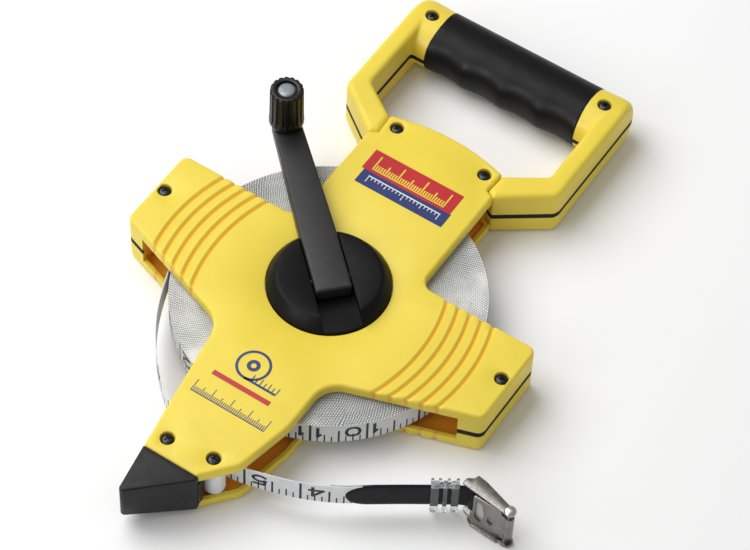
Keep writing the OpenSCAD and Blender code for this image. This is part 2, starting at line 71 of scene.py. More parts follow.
def add_camera():
    """A long lens above the tip, turned a little clockwise, as the reel was shown."""
    azimuth = math.radians(30.97)
    elevation = math.radians(53.8)
    roll = math.radians(3.19)
    distance = 1.398
    target = Vector((0.00435, 0.03256, 0.0))
    back = Vector((
        math.sin(azimuth) * math.cos(elevation),
        -math.cos(azimuth) * math.cos(elevation),
        math.sin(elevation),
    ))
    level = Vector((math.cos(azimuth), math.sin(azimuth), 0.0))
    up = back.cross(level)
    right = level * math.cos(roll) + up * math.sin(roll)
    up = up * math.cos(roll) - level * math.sin(roll)
    data = bpy.data.cameras.new("camera")
    data.sensor_width = 36.0
    data.lens = 144.74
    data.clip_end = 20.0
    camera = bpy.data.objects.new("camera", data)
    camera.matrix_world = Matrix((
        (right.x, up.x, back.x, target.x + back.x * distance),
        (right.y, up.y, back.y, target.y + back.y * distance),
        (right.z, up.z, back.z, target.z + back.z * distance),
        (0.0, 0.0, 0.0, 1.0),
    ))
    bpy.context.scene.collection.objects.link(camera)
    bpy.context.scene.camera = camera


add_camera()


# ---------------------------------------------------------------- mesh helpers

def mm(point):
    return tuple(value * MM for value in point)


def new_object(name, verts, faces, smooth_angle=35.0):
    """A mesh object from millimetre vertices, its faces pointing outwards and smooth up to an angle."""
    mesh = bpy.data.meshes.new(name)
    mesh.from_pydata([mm(v) for v in verts], [], faces)
    piece = bpy.data.objects.new(name, mesh)
    bpy.context.scene.collection.objects.link(piece)
    bm = bmesh.new()
    bm.from_mesh(mesh)
    bmesh.ops.remove_doubles(bm, verts=bm.verts, dist=1e-6)
    bmesh.ops.dissolve_degenerate(bm, edges=bm.edges, dist=1e-7)
    bmesh.ops.recalc_face_normals(bm, faces=bm.faces)
    bm.to_mesh(mesh)
    bm.free()
    shade(piece, smooth_angle)
    return piece


def shade(piece, angle=35.0):
    mesh = piece.data
    mesh.shade_smooth()
    mesh.set_sharp_from_angle(angle=math.radians(angle))


class Solid:
    """Collects vertices and faces of one or more closed islands."""

    def __init__(self):
        self.verts = []
        self.faces = []

    def add(self, points):
        first = len(self.verts)
        self.verts.extend(tuple(p) for p in points)
        return list(range(first, len(self.verts)))

    def bridge(self, low, high):
        count = len(low)
        for i in range(count):
            j = (i + 1) % count
            self.faces.append((low[i], low[j], high[j], high[i]))

    def cap(self, ring):
        self.faces.append(tuple(ring))

    def loft(self, rings, ends=True):
        """Joins rings of equally many points, caps the first and last if asked, and returns their ids."""
        ids = [self.add(ring) for ring in rings]
        for low, high in zip(ids, ids[1:]):
            self.bridge(low, high)
        if ends:
            self.cap(ids[0])
            self.cap(ids[-1])
        return ids

    def lathe(self, profile, centre=(0.0, 0.0), steps=48):
        """Turns a profile of (r, z) about a vertical axis; r = 0 closes it."""
        rings = []
        for r, z in profile:
            if r <= 1e-6:
                rings.append(self.add([(centre[0], centre[1], z)]))
            else:
                rings.append(self.add(at_z(circle(centre, r, steps), z)))
        for low, high in zip(rings, rings[1:]):
            if len(low) == 1 and len(high) == 1:
                continue
            if len(low) == 1:
                for i in range(len(high)):
                    self.faces.append((low[0], high[i], high[(i + 1) % len(high)]))
            elif len(high) == 1:
                for i in range(len(low)):
                    self.faces.append((low[i], low[(i + 1) % len(low)], high[0]))
            else:
                self.bridge(low, high)

    def fill(self, loops, extra=(), z=0.0, shift=None):
        """Fills the first loop of vertex ids, less the other loops, with triangles.

        They also use the extra points, each (x, y) at height z; shift(x, y) gives its move along z.
        """
        ids = [i for loop in loops for i in loop]
        flat = [Vector((self.verts[i][0], self.verts[i][1])) for i in ids]
        edges = []
        first = 0
        for loop in loops:
            count = len(loop)
            edges += [(first + i, first + (i + 1) % count) for i in range(count)]
            first += count
        outlines = [[(self.verts[i][0], self.verts[i][1]) for i in loop] for loop in loops]
        kept = [p for p in extra if inside(p, outlines[0]) and not any(inside(p, o) for o in outlines[1:])]
        for x, y in kept:
            dz = shift(x, y) if shift else 0.0
            ids += self.add([(x, y, z + dz)])
            flat.append(Vector((x, y)))
        verts, _, faces, origins, _, _ = delaunay_2d_cdt(flat, edges, [], 0, 1e-7)
        for face in faces:
            middle = sum((verts[i] for i in face), Vector((0.0, 0.0))) / len(face)
            point = (middle.x, middle.y)
            if not inside(point, outlines[0]) or any(inside(point, o) for o in outlines[1:]):
                continue
            if all(origins[i] for i in face):
                self.faces.append(tuple(ids[origins[i][0]] for i in face))

    def object(self, name, smooth_angle=35.0):
        return new_object(name, self.verts, self.faces, smooth_angle)


def inside(point, outline):
    """True if a point lies in a closed outline."""
    x, y = point
    hit = False
    count = len(outline)
    for i in range(count):
        x1, y1 = outline[i]
        x2, y2 = outline[(i + 1) % count]
        if (y1 > y) != (y2 > y) and x < x1 + (y - y1) * (x2 - x1) / (y2 - y1):
            hit = not hit
    return hit


def outline_rings(corners, insets, step=1.2, arc_steps=8, cuts=()):
    """Rounded outlines of (x, y, radius) corners, counter-clockwise, moved inwards by each inset.

    All have equally many points, so neighbours can be joined. cuts are x values that get a point of
    their own.
    """
    count = len(corners)
    places = [Vector(c[:2]) for c in corners]
    arrive = [(places[i] - places[i - 1]).normalized() for i in range(count)]
    leave = [arrive[(i + 1) % count] for i in range(count)]

    def corner(i, d):
        n1 = Vector((-arrive[i].y, arrive[i].x))
        n2 = Vector((-leave[i].y, leave[i].x))
        here = places[i] + d * (n1 + n2) / (1.0 + n1.dot(n2))
        turn = arrive[i].x * leave[i].y - arrive[i].y * leave[i].x
        r = corners[i][2]
        r = max(r - d, 0.12) if turn > 0 else max(r, 0.12) + d
        half = math.acos(max(-1.0, min(1.0, -arrive[i].dot(leave[i])))) / 2.0
        bisector = (leave[i] - arrive[i]).normalized()
        centre = here + bisector * r / math.sin(half)
        start = here - arrive[i] * r / math.tan(half) - centre
        sweep = (math.pi - 2.0 * half) * (1.0 if turn > 0 else -1.0)
        angle = math.atan2(start.y, start.x)
        angles = [angle + sweep * k / arc_steps for k in range(arc_steps + 1)]
        return [centre + Vector((math.cos(a), math.sin(a))) * r for a in angles]

    base = [corner(i, 0.0) for i in range(count)]
    plans = []
    for i in range(count):
        a = base[i][-1]
        b = base[(i + 1) % count][0]
        pieces = max(1, math.ceil((b - a).length / step))
        here = [x for x in cuts if min(a.x, b.x) + 4.0 < x < max(a.x, b.x) - 4.0]
        plan = [("part", k / pieces, a.x + (b.x - a.x) * k / pieces) for k in range(1, pieces)]
        plan = [p for p in plan if all(abs(p[2] - x) > step for x in here)]
        plan += [("cut", x, x) for x in here]
        plans.append(sorted(plan, key=lambda p: p[2] * (1 if b.x > a.x else -1)) if here else plan)
    rings = []
    for d in insets:
        arcs = [corner(i, d) for i in range(count)]
        ring = []
        for i in range(count):
            ring += arcs[i]
            a = arcs[i][-1]
            b = arcs[(i + 1) % count][0]
            for kind, value, _ in plans[i]:
                ring.append(a.lerp(b, value if kind == "part" else (value - a.x) / (b.x - a.x)))
        rings.append([(p.x, p.y) for p in ring])
    return rings


def at_z(ring, z):
    return [(x, y, z) for x, y in ring]


def at_y(ring, y):
    """A ring of (x, z) points stood up at one y."""
    return [(x, y, z) for x, z in ring]


def circle(centre, r, steps=40):
    return [(centre[0] + r * math.cos(2 * math.pi * k / steps),
             centre[1] + r * math.sin(2 * math.pi * k / steps)) for k in range(steps)]


def rounded_slab(solid, corners, z_low, z_high, edge_low, edge_high, step=1.5, arc_steps=8, rounds=4):
    """A closed slab of an outline with both rims rounded."""
    profile = []
    for k in range(rounds + 1):
        a = math.pi / 2 * k / rounds
        profile.append((edge_low * (1 - math.sin(a)), z_low + edge_low * (1 - math.cos(a))))
    for k in range(rounds + 1):
        a = math.pi / 2 * k / rounds
        profile.append((edge_high * (1 - math.cos(a)), z_high - edge_high * (1 - math.sin(a))))
    rings = outline_rings(corners, [d for d, _ in profile], step, arc_steps)
    ids = solid.loft([at_z(ring, z) for ring, (_, z) in zip(rings, profile)], ends=False)
    solid.fill([ids[0]])
    solid.fill([ids[-1]])


def smooth_route(points, per_leg=8):
    """A Catmull-Rom line through route points, as (x, y) pairs."""
    pts = [Vector(p) for p in points]
    pts = [2 * pts[0] - pts[1]] + pts + [2 * pts[-1] - pts[-2]]
    line = []
    for i in range(1, len(pts) - 2):
        p0, p1, p2, p3 = pts[i - 1:i + 3]
        for k in range(per_leg):
            t = k / per_leg
            line.append(0.5 * (2 * p1 + (p2 - p0) * t + (2 * p0 - 5 * p1 + 4 * p2 - p3) * t * t
                               + (3 * p1 - p0 - 3 * p2 + p3) * t ** 3))
    line.append(pts[-2])
    return line


class Line:
    """A flat line measured by arc length: at(s) gives its point and its left-hand normal."""

    def __init__(self, points):
        self.points = [Vector(p) for p in points]
        self.lengths = [0.0]
        for a, b in zip(self.points, self.points[1:]):
            self.lengths.append(self.lengths[-1] + (b - a).length)
        self.length = self.lengths[-1]

    def at(self, s):
        i = 0
        while i < len(self.lengths) - 2 and self.lengths[i + 1] < s:
            i += 1
        t = (s - self.lengths[i]) / (self.lengths[i + 1] - self.lengths[i])
        along = (self.points[i + 1] - self.points[i]).normalized()
        return self.points[i].lerp(self.points[i + 1], t), Vector((-along.y, along.x))


def samples(start, end, step):
    count = max(1, math.ceil((end - start) / step))
    return [start + (end - start) * k / count for k in range(count + 1)]


# ---------------------------------------------------------------- material helpers

class Mat:
    """A node material on object coordinates, in metres. A one-value colour in a ramp is a grey."""

    def __init__(self, name, color, roughness, metallic=0.0, specular=0.5, subsurface=0.0,
                 transmission=0.0, ior=1.45):
        self.mat = bpy.data.materials.new(name)
        self.mat.use_nodes = True
        self.tree = self.mat.node_tree
        self.bsdf = self.tree.nodes["Principled BSDF"]
        self.set("Base Color", (*color, 1.0))
        self.set("Roughness", roughness)
        self.set("Metallic", metallic)
        self.set("Specular IOR Level", specular)
        self.set("Subsurface Weight", subsurface)
        self.set("Transmission Weight", transmission)
        self.set("IOR", ior)
        self.coords = self.tree.nodes.new("ShaderNodeTexCoord").outputs["Object"]
        self.normal = None

    def set(self, socket, value):
        self.bsdf.inputs[socket].default_value = value

    def node(self, kind, **inputs):
        node = self.tree.nodes.new(kind)
        for name, value in inputs.items():
            self.feed(node.inputs[name.replace("_", " ")], value)
        return node

    def feed(self, socket, value):
        if isinstance(value, bpy.types.NodeSocket):
            self.tree.links.new(value, socket)
        else:
            socket.default_value = value

    def math(self, operation, a, b=0.0):
        node = self.tree.nodes.new("ShaderNodeMath")
        node.operation = operation
        self.feed(node.inputs[0], a)
        self.feed(node.inputs[1], b)
        return node.outputs[0]

    def noise(self, scale, detail=3.0, coords=None, stretch=None):
        source = coords or self.coords
        if stretch:
            mapping = self.node("ShaderNodeMapping", Vector=source)
            mapping.inputs["Scale"].default_value = stretch
            source = mapping.outputs[0]
        node = self.node("ShaderNodeTexNoise", Vector=source, Scale=scale, Detail=detail, Roughness=0.55)
        return node.outputs["Fac"]

    def ramp(self, value, stops):
        node = self.node("ShaderNodeValToRGB", Fac=value)
        elements = node.color_ramp.elements
        while len(elements) < len(stops):
            elements.new(0.5)
        for element, (place, color) in zip(elements, stops):
            element.position = place
            element.color = (*color, 1.0) if len(color) == 3 else (color[0], color[0], color[0], 1.0)
        return node.outputs["Color"]

    def mix(self, factor, a, b):
        node = self.tree.nodes.new("ShaderNodeMix")
        node.data_type = "RGBA"
        self.feed(node.inputs[0], factor)
        self.feed(node.inputs[6], a)
        self.feed(node.inputs[7], b)
        return node.outputs[2]

    def bump(self, height, distance, strength=1.0):
        node = self.node("ShaderNodeBump", Height=height, Distance=distance, Strength=strength)
        if self.normal:
            self.feed(node.inputs["Normal"], self.normal)
        self.normal = node.outputs["Normal"]
        self.feed(self.bsdf.inputs["Normal"], self.normal)

    def base(self, color):
        self.feed(self.bsdf.inputs["Base Color"], color)

    def rough(self, value):
        self.feed(self.bsdf.inputs["Roughness"], value)


def shades(color, low, high):
    """Two versions of a colour, darker and lighter."""
    return tuple(c * low for c in color), tuple(min(1.0, c * high) for c in color)


def moulded(name, color, roughness, grain=2600.0, grain_height=0.00002, spread=0.06, **more):
    """Moulded plastic: faint flow marks in the colour, fine grain and uneven gloss."""
    m = Mat(name, color, roughness, **more)
    dark, light = shades(color, 1 - spread, 1 + spread)
    m.base(m.ramp(m.noise(45.0, 4.0), [(0.3, dark), (0.7, light)]))
    m.rough(m.ramp(m.noise(160.0, 5.0), [(0.25, (roughness * 0.85,)), (0.75, (roughness * 1.2,))]))
    m.bump(m.noise(grain, 2.0), grain_height, 0.5)
    return m


def metal(name, color, roughness, brush=(1.0, 1.0, 1.0), scale=900.0):
    """Metal with fine brush or turning marks and small stains."""
    m = Mat(name, color, roughness, metallic=1.0)
    dark, light = shades(color, 0.78, 1.15)
    m.base(m.ramp(m.noise(120.0, 6.0), [(0.25, dark), (0.7, light)]))
    marks = m.noise(scale, 3.0, stretch=brush)
    m.rough(m.ramp(marks, [(0.2, (roughness * 0.7,)), (0.8, (roughness * 1.4,))]))
    m.bump(marks, 0.00001, 0.6)
    return m


YELLOW = (0.86, 0.67, 0.065)
frame_yellow = moulded("frame_yellow", YELLOW, 0.42, spread=0.03, subsurface=0.12)


def tint_grooves(m):
    """Painted shade: down in the arms' grooves the yellow is painted a deeper amber."""
    split = m.node("ShaderNodeSeparateXYZ", Vector=m.coords)
    x = m.math("ABSOLUTE", split.outputs[0])
    y = m.math("ADD", split.outputs[1], -RIB_CENTRE_Y * MM)
    grooves = None
    for k in range(RIB_COUNT):
        dx = m.math("ADD", x, (RIB_ARC_R - RIB_FIRST_X - k * RIB_PITCH) * MM)
        r = m.math("SQRT", m.math("ADD", m.math("MULTIPLY", dx, dx), m.math("MULTIPLY", y, y)))
        off = m.math("ABSOLUTE", m.math("ADD", r, -RIB_ARC_R * MM))
        near = m.ramp(m.math("MULTIPLY", off, 1000.0 / RIB_HALF_W), [(0.15, (1.0,)), (0.95, (0.0,))])
        grooves = near if grooves is None else m.math("MAXIMUM", grooves, near)
    past_x = m.math("GREATER_THAN", x, RIB_LEAST_X * MM)
    below_y = m.math("LESS_THAN", split.outputs[1], RIB_MOST_Y * MM)
    return m.math("MULTIPLY", m.math("MULTIPLY", grooves, m.math("MULTIPLY", past_x, below_y)), 0.58)


yellow_dark, yellow_light = shades(YELLOW, 0.97, 1.03)
# Base colour of the frame: random tone, with painted shade in amber down the arms' grooves.
frame_yellow.base(frame_yellow.mix(
    tint_grooves(frame_yellow),
    frame_yellow.ramp(frame_yellow.noise(45.0, 4.0), [(0.3, yellow_dark), (0.7, yellow_light)]),
    (0.80, 0.33, 0.02, 1.0)))
frame_yellow.set("Subsurface Radius", (1.0, 0.45, 0.08))
frame_yellow.set("Subsurface Scale", 0.004)
# Deeper orange for the faces inside the hollow frame: painted shade and painted glow of light passed through
# the plastic.
inside_painted_shade = moulded("inside_painted_shade", (0.97, 0.42, 0.032), 0.5, spread=0.06)
seam_rubber = moulded("seam_rubber", (0.008, 0.009, 0.010), 0.62, specular=0.2)
tip_black = moulded("tip_black", (0.007, 0.007, 0.008), 0.44,
                    grain=1500.0, grain_height=0.00005, specular=0.32)
nylon_white = moulded("nylon_white", (0.82, 0.85, 0.86), 0.4)
screw_black = metal("screw_black", (0.05, 0.05, 0.055), 0.34)
grip_rubber = moulded("grip_rubber", (0.005, 0.005, 0.006), 0.42,
                      grain=1800.0, grain_height=0.00003, specular=0.2)
steel = metal("steel", (0.60, 0.60, 0.60), 0.3)
brass = metal("brass", (0.68, 0.48, 0.2), 0.3)
hub_black = moulded("hub_black", (0.006, 0.006, 0.006), 0.42,
                    grain=1400.0, grain_height=0.00004, specular=0.13)
crank_grey = moulded("crank_grey", (0.016, 0.016, 0.016), 0.42,
                     grain=1200.0, grain_height=0.00003, specular=0.5)
knob_black = moulded("knob_black", (0.006, 0.006, 0.006), 0.30, specular=0.4)
sleeve_black = moulded("sleeve_black", (0.005, 0.007, 0.009), 0.40,
                       grain=700.0, grain_height=0.00006, specular=0.16)
pin_nickel = metal("pin_nickel", (0.58, 0.56, 0.53), 0.24)
stud_grey = metal("stud_grey", (0.30, 0.32, 0.34), 0.58)
leaf_steel = metal("leaf_steel", (0.50, 0.48, 0.45), 0.45, brush=(1.0, 1.0, 0.25), scale=700.0)
hook_nickel = metal("hook_nickel", (0.24, 0.225, 0.21), 0.26, brush=(1.0, 1.0, 0.25), scale=700.0)
clip_clear = moulded("clip_clear", (0.90, 0.93, 0.94), 0.08, transmission=0.92, ior=1.47)


def paint(piece, material):
    piece.data.materials.clear()
    piece.data.materials.append(material.mat)


def finish_piece(piece, material, body, replaced=()):
    paint(piece, material)
    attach(piece, body)
    if replaced:
        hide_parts(*replaced)


for name, material in {
    "front_frame": frame_yellow, "back_frame": frame_yellow,
    "left_seam_strip": seam_rubber, "right_seam_strip": seam_rubber,
    "mouth_tip": tip_black, "mouth_roller": nylon_white, "frame_screws": screw_black,
    "handle_front_shell": frame_yellow, "handle_back_shell": frame_yellow,
    "handle_seam_strip": seam_rubber, "handle_grip": grip_rubber, "handle_screws": screw_black,
    "reel_axle": steel, "axle_washer": steel, "axle_screw": steel,
    "rear_thrust_ring": nylon_white, "front_thrust_ring": nylon_white,
    "spool_drum": hub_black, "drum_bush": brass, "tape_anchor_pin": steel, "tape_roll": nylon_white,
    "crank_hub": hub_black, "hub_screws": steel, "crank_hinge_pin": screw_black, "crank_arm": crank_grey,
    "knob_stud": steel, "knob_collar": hub_black, "crank_knob": knob_black,
    "tape_lead": nylon_white, "tape_end": nylon_white, "end_sleeve": sleeve_black,
    "crimp_collar": clip_clear, "hook_bracket": hook_nickel, "tape_loop_pin": steel,
    "hook_pin": hook_nickel, "hook_claw": hook_nickel, "front_label": nylon_white,
}.items():
    paint(nodes[name], material)


# ---------------------------------------------------------------- frame halves

LIP_H = 5.5
WALL_T = 2.4
EDGE_R = 1.6
BOX_X = 85.8
HUB_HOLE_R = 28.8
TIP_SCREW = (-11.0, -109.0)
ROLLER_AT = (11.5, -106.0)
FRAME_SCREWS = ((91.8, 0.6), (-91.8, 0.6), (24.3, 93.0), (-24.3, 93.0), TIP_SCREW, ROLLER_AT)
HANDLE_SCREWS = ((48.6, 161.3), (-48.6, 161.3))
FRAME_CORNERS = (
    (10.6, -117.5, 1.5), (23.2, -102.5, 7.0), (29.0, -74.0, 30.0), (29.0, -45.2, 13.0),
    (96.5, -21.8, 4.0), (96.5, 23.1, 4.0), (34.5, 23.1, 6.0), (34.5, 84.0, 1.0),
    (30.3, 86.2, 0.5), (31.0, 98.0, 1.0), (0.0, 106.6, 100.0), (-31.0, 98.0, 1.0),
    (-30.3, 86.2, 0.5), (-34.5, 84.0, 1.0), (-34.5, 23.1, 6.0), (-96.5, 23.1, 4.0),
    (-96.5, -21.8, 4.0), (-29.2, -45.0, 14.0), (-17.6, -117.5, 1.5),
)


def rib_depth(x, y):
    """How deep the arms' narrow grooves are at a point; the bands between them are flat."""
    if abs(x) < RIB_LEAST_X or y > RIB_MOST_Y:
        return 0.0
    depth = 0.0
    for k in range(RIB_COUNT):
        off = math.hypot(abs(x) - (RIB_FIRST_X + k * RIB_PITCH - RIB_ARC_R), y - RIB_CENTRE_Y) - RIB_ARC_R
        depth = max(depth, max(0.0, 1.0 - abs(off) / RIB_HALF_W) ** 0.8)
    return depth * RIB_DEPTH


def rib_points():
    """Points that follow the grooves, close together across each; an offset of 1 is a groove's edge."""
    points = []
    offsets = (-1.6, -1.15, -1.0, -0.7, -0.4, -0.15, 0.0, 0.15, 0.4, 0.7, 1.0, 1.15, 1.6)
    for k in range(RIB_COUNT):
        for t in offsets:
            r = RIB_ARC_R + t * RIB_HALF_W
            for n in range(-32, 25):
                a = n * 1.15 / RIB_ARC_R
                x = RIB_FIRST_X + k * RIB_PITCH - RIB_ARC_R + r * math.cos(a)
                y = RIB_CENTRE_Y + r * math.sin(a)
                points += [(x, y), (-x, y)]
    return points


def add_posts_and_walls(solid, depth, is_front, up):
    """The screw posts, the axle's boss in the back half and the walls that close the arms."""
    for at in FRAME_SCREWS:
        radius = 3.0 if at == ROLLER_AT else 4.0
        solid.lathe([(0.0, up(2.1)), (radius, up(2.1)), (radius, up(depth - 0.2)), (radius - 0.2, up(depth)),
                     (0.0, up(depth))], at, 32)
    if not is_front:
        solid.lathe([(0.0, 2.0), (9.0, 2.0), (9.0, 6.2), (8.6, 6.6), (4.1, 6.6), (4.1, 6.0), (0.0, 6.0)])
    low_y = -24.9
    far_x = BOX_X + 2.2
    for side in (-1, 1):
        wall = [(BOX_X, low_y, 0.3), (far_x, low_y + 0.8, 0.3), (far_x, 22.1, 0.3), (BOX_X, 22.1, 0.3)]
        if side < 0:
            wall = [(-x, y, r) for x, y, r in reversed(wall)]
        z_ends = sorted((up(2.0), up(depth)))
        rounded_slab(solid, wall, z_ends[0], z_ends[1], 0.2, 0.2, 4.0, 3, 2)


def frame_half(name, depth, is_front):
    """One half of the frame: plate, lip, rounded rim, grooved arms, closed arm ends, posts and wells."""

    def up(z):
        return FRAME_T - z if is_front else z

    def wall_end(x):
        return depth - STRIP_H / 2 if abs(x) > BOX_X else LIP_H

    solid = Solid()
    rim = []
    rounds = 6
    for k in range(rounds + 1):
        a = math.pi / 2 * k / rounds
        rim.append((EDGE_R * (1 - math.cos(a)), EDGE_R * (1 - math.sin(a)), math.cos(a), math.sin(a)))
    small = 0.35
    # inset, height, share of a groove taken sideways, share taken into the face, 1 if measured from the lip
    profile = [
        (WALL_T, WALL_T, 0.0, 0.0, 0), (WALL_T, -small, 0.0, 0.0, 1), (WALL_T - small, 0.0, 0.0, 0.0, 1),
        (small, 0.0, 0.0, 0.0, 1), (0.0, -small, 0.0, 0.0, 1), (0.0, 4.2, 0.0, 0.0, 0),
        (0.0, 3.2, 0.5, 0.0, 0),
    ] + [(d, z, side, face, 0) for d, z, side, face in rim]
    cuts = (-BOX_X - 0.03, -BOX_X + 0.03, BOX_X - 0.03, BOX_X + 0.03)
    flat_rings = outline_rings(FRAME_CORNERS, [p[0] for p in profile], 0.8, 8, cuts)
    rings = []
    for ring, (_, z, side, face, from_end) in zip(flat_rings, profile):
        count = len(ring)
        points = []
        for i, (x, y) in enumerate(ring):
            level = wall_end(x) + z if from_end else z
            groove = rib_depth(x, y) if side or face else 0.0
            if groove:
                a = ring[i - 1]
                b = ring[(i + 1) % count]
                length = math.hypot(b[0] - a[0], b[1] - a[1]) or 1.0
                x -= (b[1] - a[1]) / length * groove * side * 0.8
                y += (b[0] - a[0]) / length * groove * side * 0.8
                level += groove * face
            points.append((x, y, up(level)))
        rings.append(points)
    ids = solid.loft(rings, ends=False)

    outer_holes = []
    inner_holes = []
    if is_front:
        hole = [(HUB_HOLE_R + 0.8, 0.0), (HUB_HOLE_R + 0.25, 0.25), (HUB_HOLE_R, 0.8), (HUB_HOLE_R, 2.0),
                (HUB_HOLE_R + 0.4, WALL_T)]
        hole_ids = solid.loft([at_z(circle((0.0, 0.0), r, 144), up(z)) for r, z in hole], ends=False)
        outer_holes.append(hole_ids[0])
        inner_holes.append(hole_ids[-1])
        for at in FRAME_SCREWS:
            well = [(3.9, 0.0), (3.55, 0.15), (3.4, 0.5), (3.4, 1.9), (3.3, 2.0)]
            well_ids = solid.loft([at_z(circle(at, r, 40), up(z)) for r, z in well], ends=False)
            solid.cap(well_ids[-1])
            outer_holes.append(well_ids[0])
    margin = outline_rings(FRAME_CORNERS, [EDGE_R + 0.45], 2.0)[0]
    extra = [p for p in rib_points() if inside(p, margin)]
    sign = -1.0 if is_front else 1.0
    solid.fill([ids[-1]] + outer_holes, extra, up(0.0), lambda x, y: sign * rib_depth(x, y))
    solid.fill([ids[0]] + inner_holes)

    add_posts_and_walls(solid, depth, is_front, up)
    return solid.object(name, 32.0)


def tint_inside(piece):
    """The hollow side is painted a deeper orange: painted shade and painted light that has passed through the
    plastic.
    """
    piece.data.materials.append(inside_painted_shade.mat)
    least = WALL_T - 0.2
    hollow = outline_rings(FRAME_CORNERS, [least], 5.0)[0]
    for face in piece.data.polygons:
        x, y, z = face.center / MM
        if least < z < FRAME_T - least and inside((x, y), hollow):
            face.material_index = 1


for shell, cad_name in (
    (frame_half("frame_front_half", FRAME_T - SEAM_Z, True), "front_frame"),
    (frame_half("frame_back_half", SEAM_Z, False), "back_frame"),
):
    finish_piece(shell, frame_yellow, "frame", [cad_name])
    tint_inside(shell)


def arm_strip(side):
    """Dark rubber strip in the seam round an arm's closed end, flush with both halves."""
    cuts = (-BOX_X - 0.03, BOX_X + 0.03)
    strip_depth = 2.3
    edge = 0.12
    outer, near, inner = outline_rings(FRAME_CORNERS, [0.04, 0.04 + edge, strip_depth], 0.8, 8, cuts)
    low = SEAM_Z - STRIP_H / 2 + 0.01
    high = SEAM_Z + STRIP_H / 2 - 0.01
    levels = ((near, low), (outer, low + edge), (outer, high - edge), (near, high), (inner, high),
              (inner, low))
    solid = Solid()
    stations = [i for i in range(len(outer)) if outer[i][0] * side > BOX_X + 0.01]
    solid.loft([[(*ring[i], z) for ring, z in levels] for i in stations])
    return solid.object("arm_strip_right" if side > 0 else "arm_strip_left", 40.0)


finish_piece(arm_strip(1), seam_rubber, "frame", ["right_seam_strip"])
finish_piece(arm_strip(-1), seam_rubber, "frame", ["left_seam_strip"])


# ---------------------------------------------------------------- modifiers applied in place

def apply_modifiers(piece):
    graph = bpy.context.evaluated_depsgraph_get()
    mesh = bpy.data.meshes.new_from_object(piece.evaluated_get(graph))
    old = piece.data
    piece.modifiers.clear()
    piece.data = mesh
    bpy.data.meshes.remove(old)


def cut(piece, cutter):
    """Takes the cutter out of a piece and removes the cutter."""
    modifier = piece.modifiers.new("cut", "BOOLEAN")
    modifier.operation = "DIFFERENCE"
    modifier.solver = "EXACT"
    modifier.use_self = True
    modifier.object = cutter
    apply_modifiers(piece)
    bpy.data.objects.remove(cutter)


def soften(piece, width, segments=3, angle=35.0):
    """Rounds every edge sharper than an angle."""
    modifier = piece.modifiers.new("soften", "BEVEL")
    modifier.width = width * MM
    modifier.segments = segments
    modifier.limit_method = "ANGLE"
    modifier.angle_limit = math.radians(angle)
    modifier.use_clamp_overlap = True
    modifier.miter_outer = "MITER_ARC"
    apply_modifiers(piece)
    shade(piece, 40.0)


# ---------------------------------------------------------------- handle

BAR_Y = 160.3
BAR_A = 15.7                # half the hand bar's depth along Y
BAR_B = FRAME_T / 2         # and along Z
GRIP_HALF = 42.3
HANDLE_HALF = 59.5
LEG_INNER = 49.7
TOP_CORNER_R = 6.0
END_RIM_R = 3.0
LEG_CORNERS = (
    (30.45, 86.4, 0.6), (34.65, 83.9, 0.6), (58.3, 101.2, 3.0), (59.5, 104.0, 3.0),
    (59.5, BAR_Y + 4.5, 3.0), (LEG_INNER, BAR_Y + 4.5, 3.0), (LEG_INNER, 110.0, 3.5), (31.15, 97.4, 0.6),
)


def superellipse(a_plus, a_minus, b, power, steps=64):
    """Points (u, v) round a flattened oval whose +u side reaches a_plus and -u side a_minus."""
    points = []
    for k in range(steps):
        angle = 2 * math.pi * k / steps
        c = math.cos(angle)
        s = math.sin(angle)
        u = math.copysign(abs(c) ** (2 / power), c) * (a_plus if c > 0 else a_minus)
        points.append((u, math.copysign(abs(s) ** (2 / power), s) * b))
    return points


def bar_end(solid):
    """The oval end of the hand bar, from inside the grip to the outer corner of the handle."""
    rings = []
    for x in (40.5, 42.5, 45.0, 48.0, 51.0, 53.5, 54.6, 55.6, 56.5, 57.3, 58.0, 58.6, 59.1, 59.4, 59.5):
        into_corner = max(0.0, x - (HANDLE_HALF - TOP_CORNER_R))
        reach = BAR_A - TOP_CORNER_R + math.sqrt(max(0.0, TOP_CORNER_R ** 2 - into_corner ** 2))
        into_rim = max(0.0, x - (HANDLE_HALF - END_RIM_R))
        height = BAR_B - (END_RIM_R - math.sqrt(max(0.0, END_RIM_R ** 2 - into_rim ** 2)))
        power = 2.1 + 0.25 * min(1.0, max(0.0, (x - 42.0) / 8.0))
        rings.append([(x, BAR_Y + u, BAR_B + v) for u, v in superellipse(reach, BAR_A, height, power)])
    solid.loft(rings)


def handle_side():
    """One leg and its end of the bar, melted into one rounded form."""
    rough = Solid()
    rounded_slab(rough, LEG_CORNERS, 0.0, FRAME_T, 2.6, 2.6, 2.0)
    bar_end(rough)
    piece = rough.object("handle_rough")
    remesh = piece.modifiers.new("join", "REMESH")
    remesh.mode = "VOXEL"
    remesh.voxel_size = 0.55 * MM
    melt = piece.modifiers.new("melt", "SMOOTH")
    melt.factor = 0.5
    melt.iterations = 7
    thin = piece.modifiers.new("thin", "DECIMATE")
    thin.ratio = 0.22
    apply_modifiers(piece)
    return piece


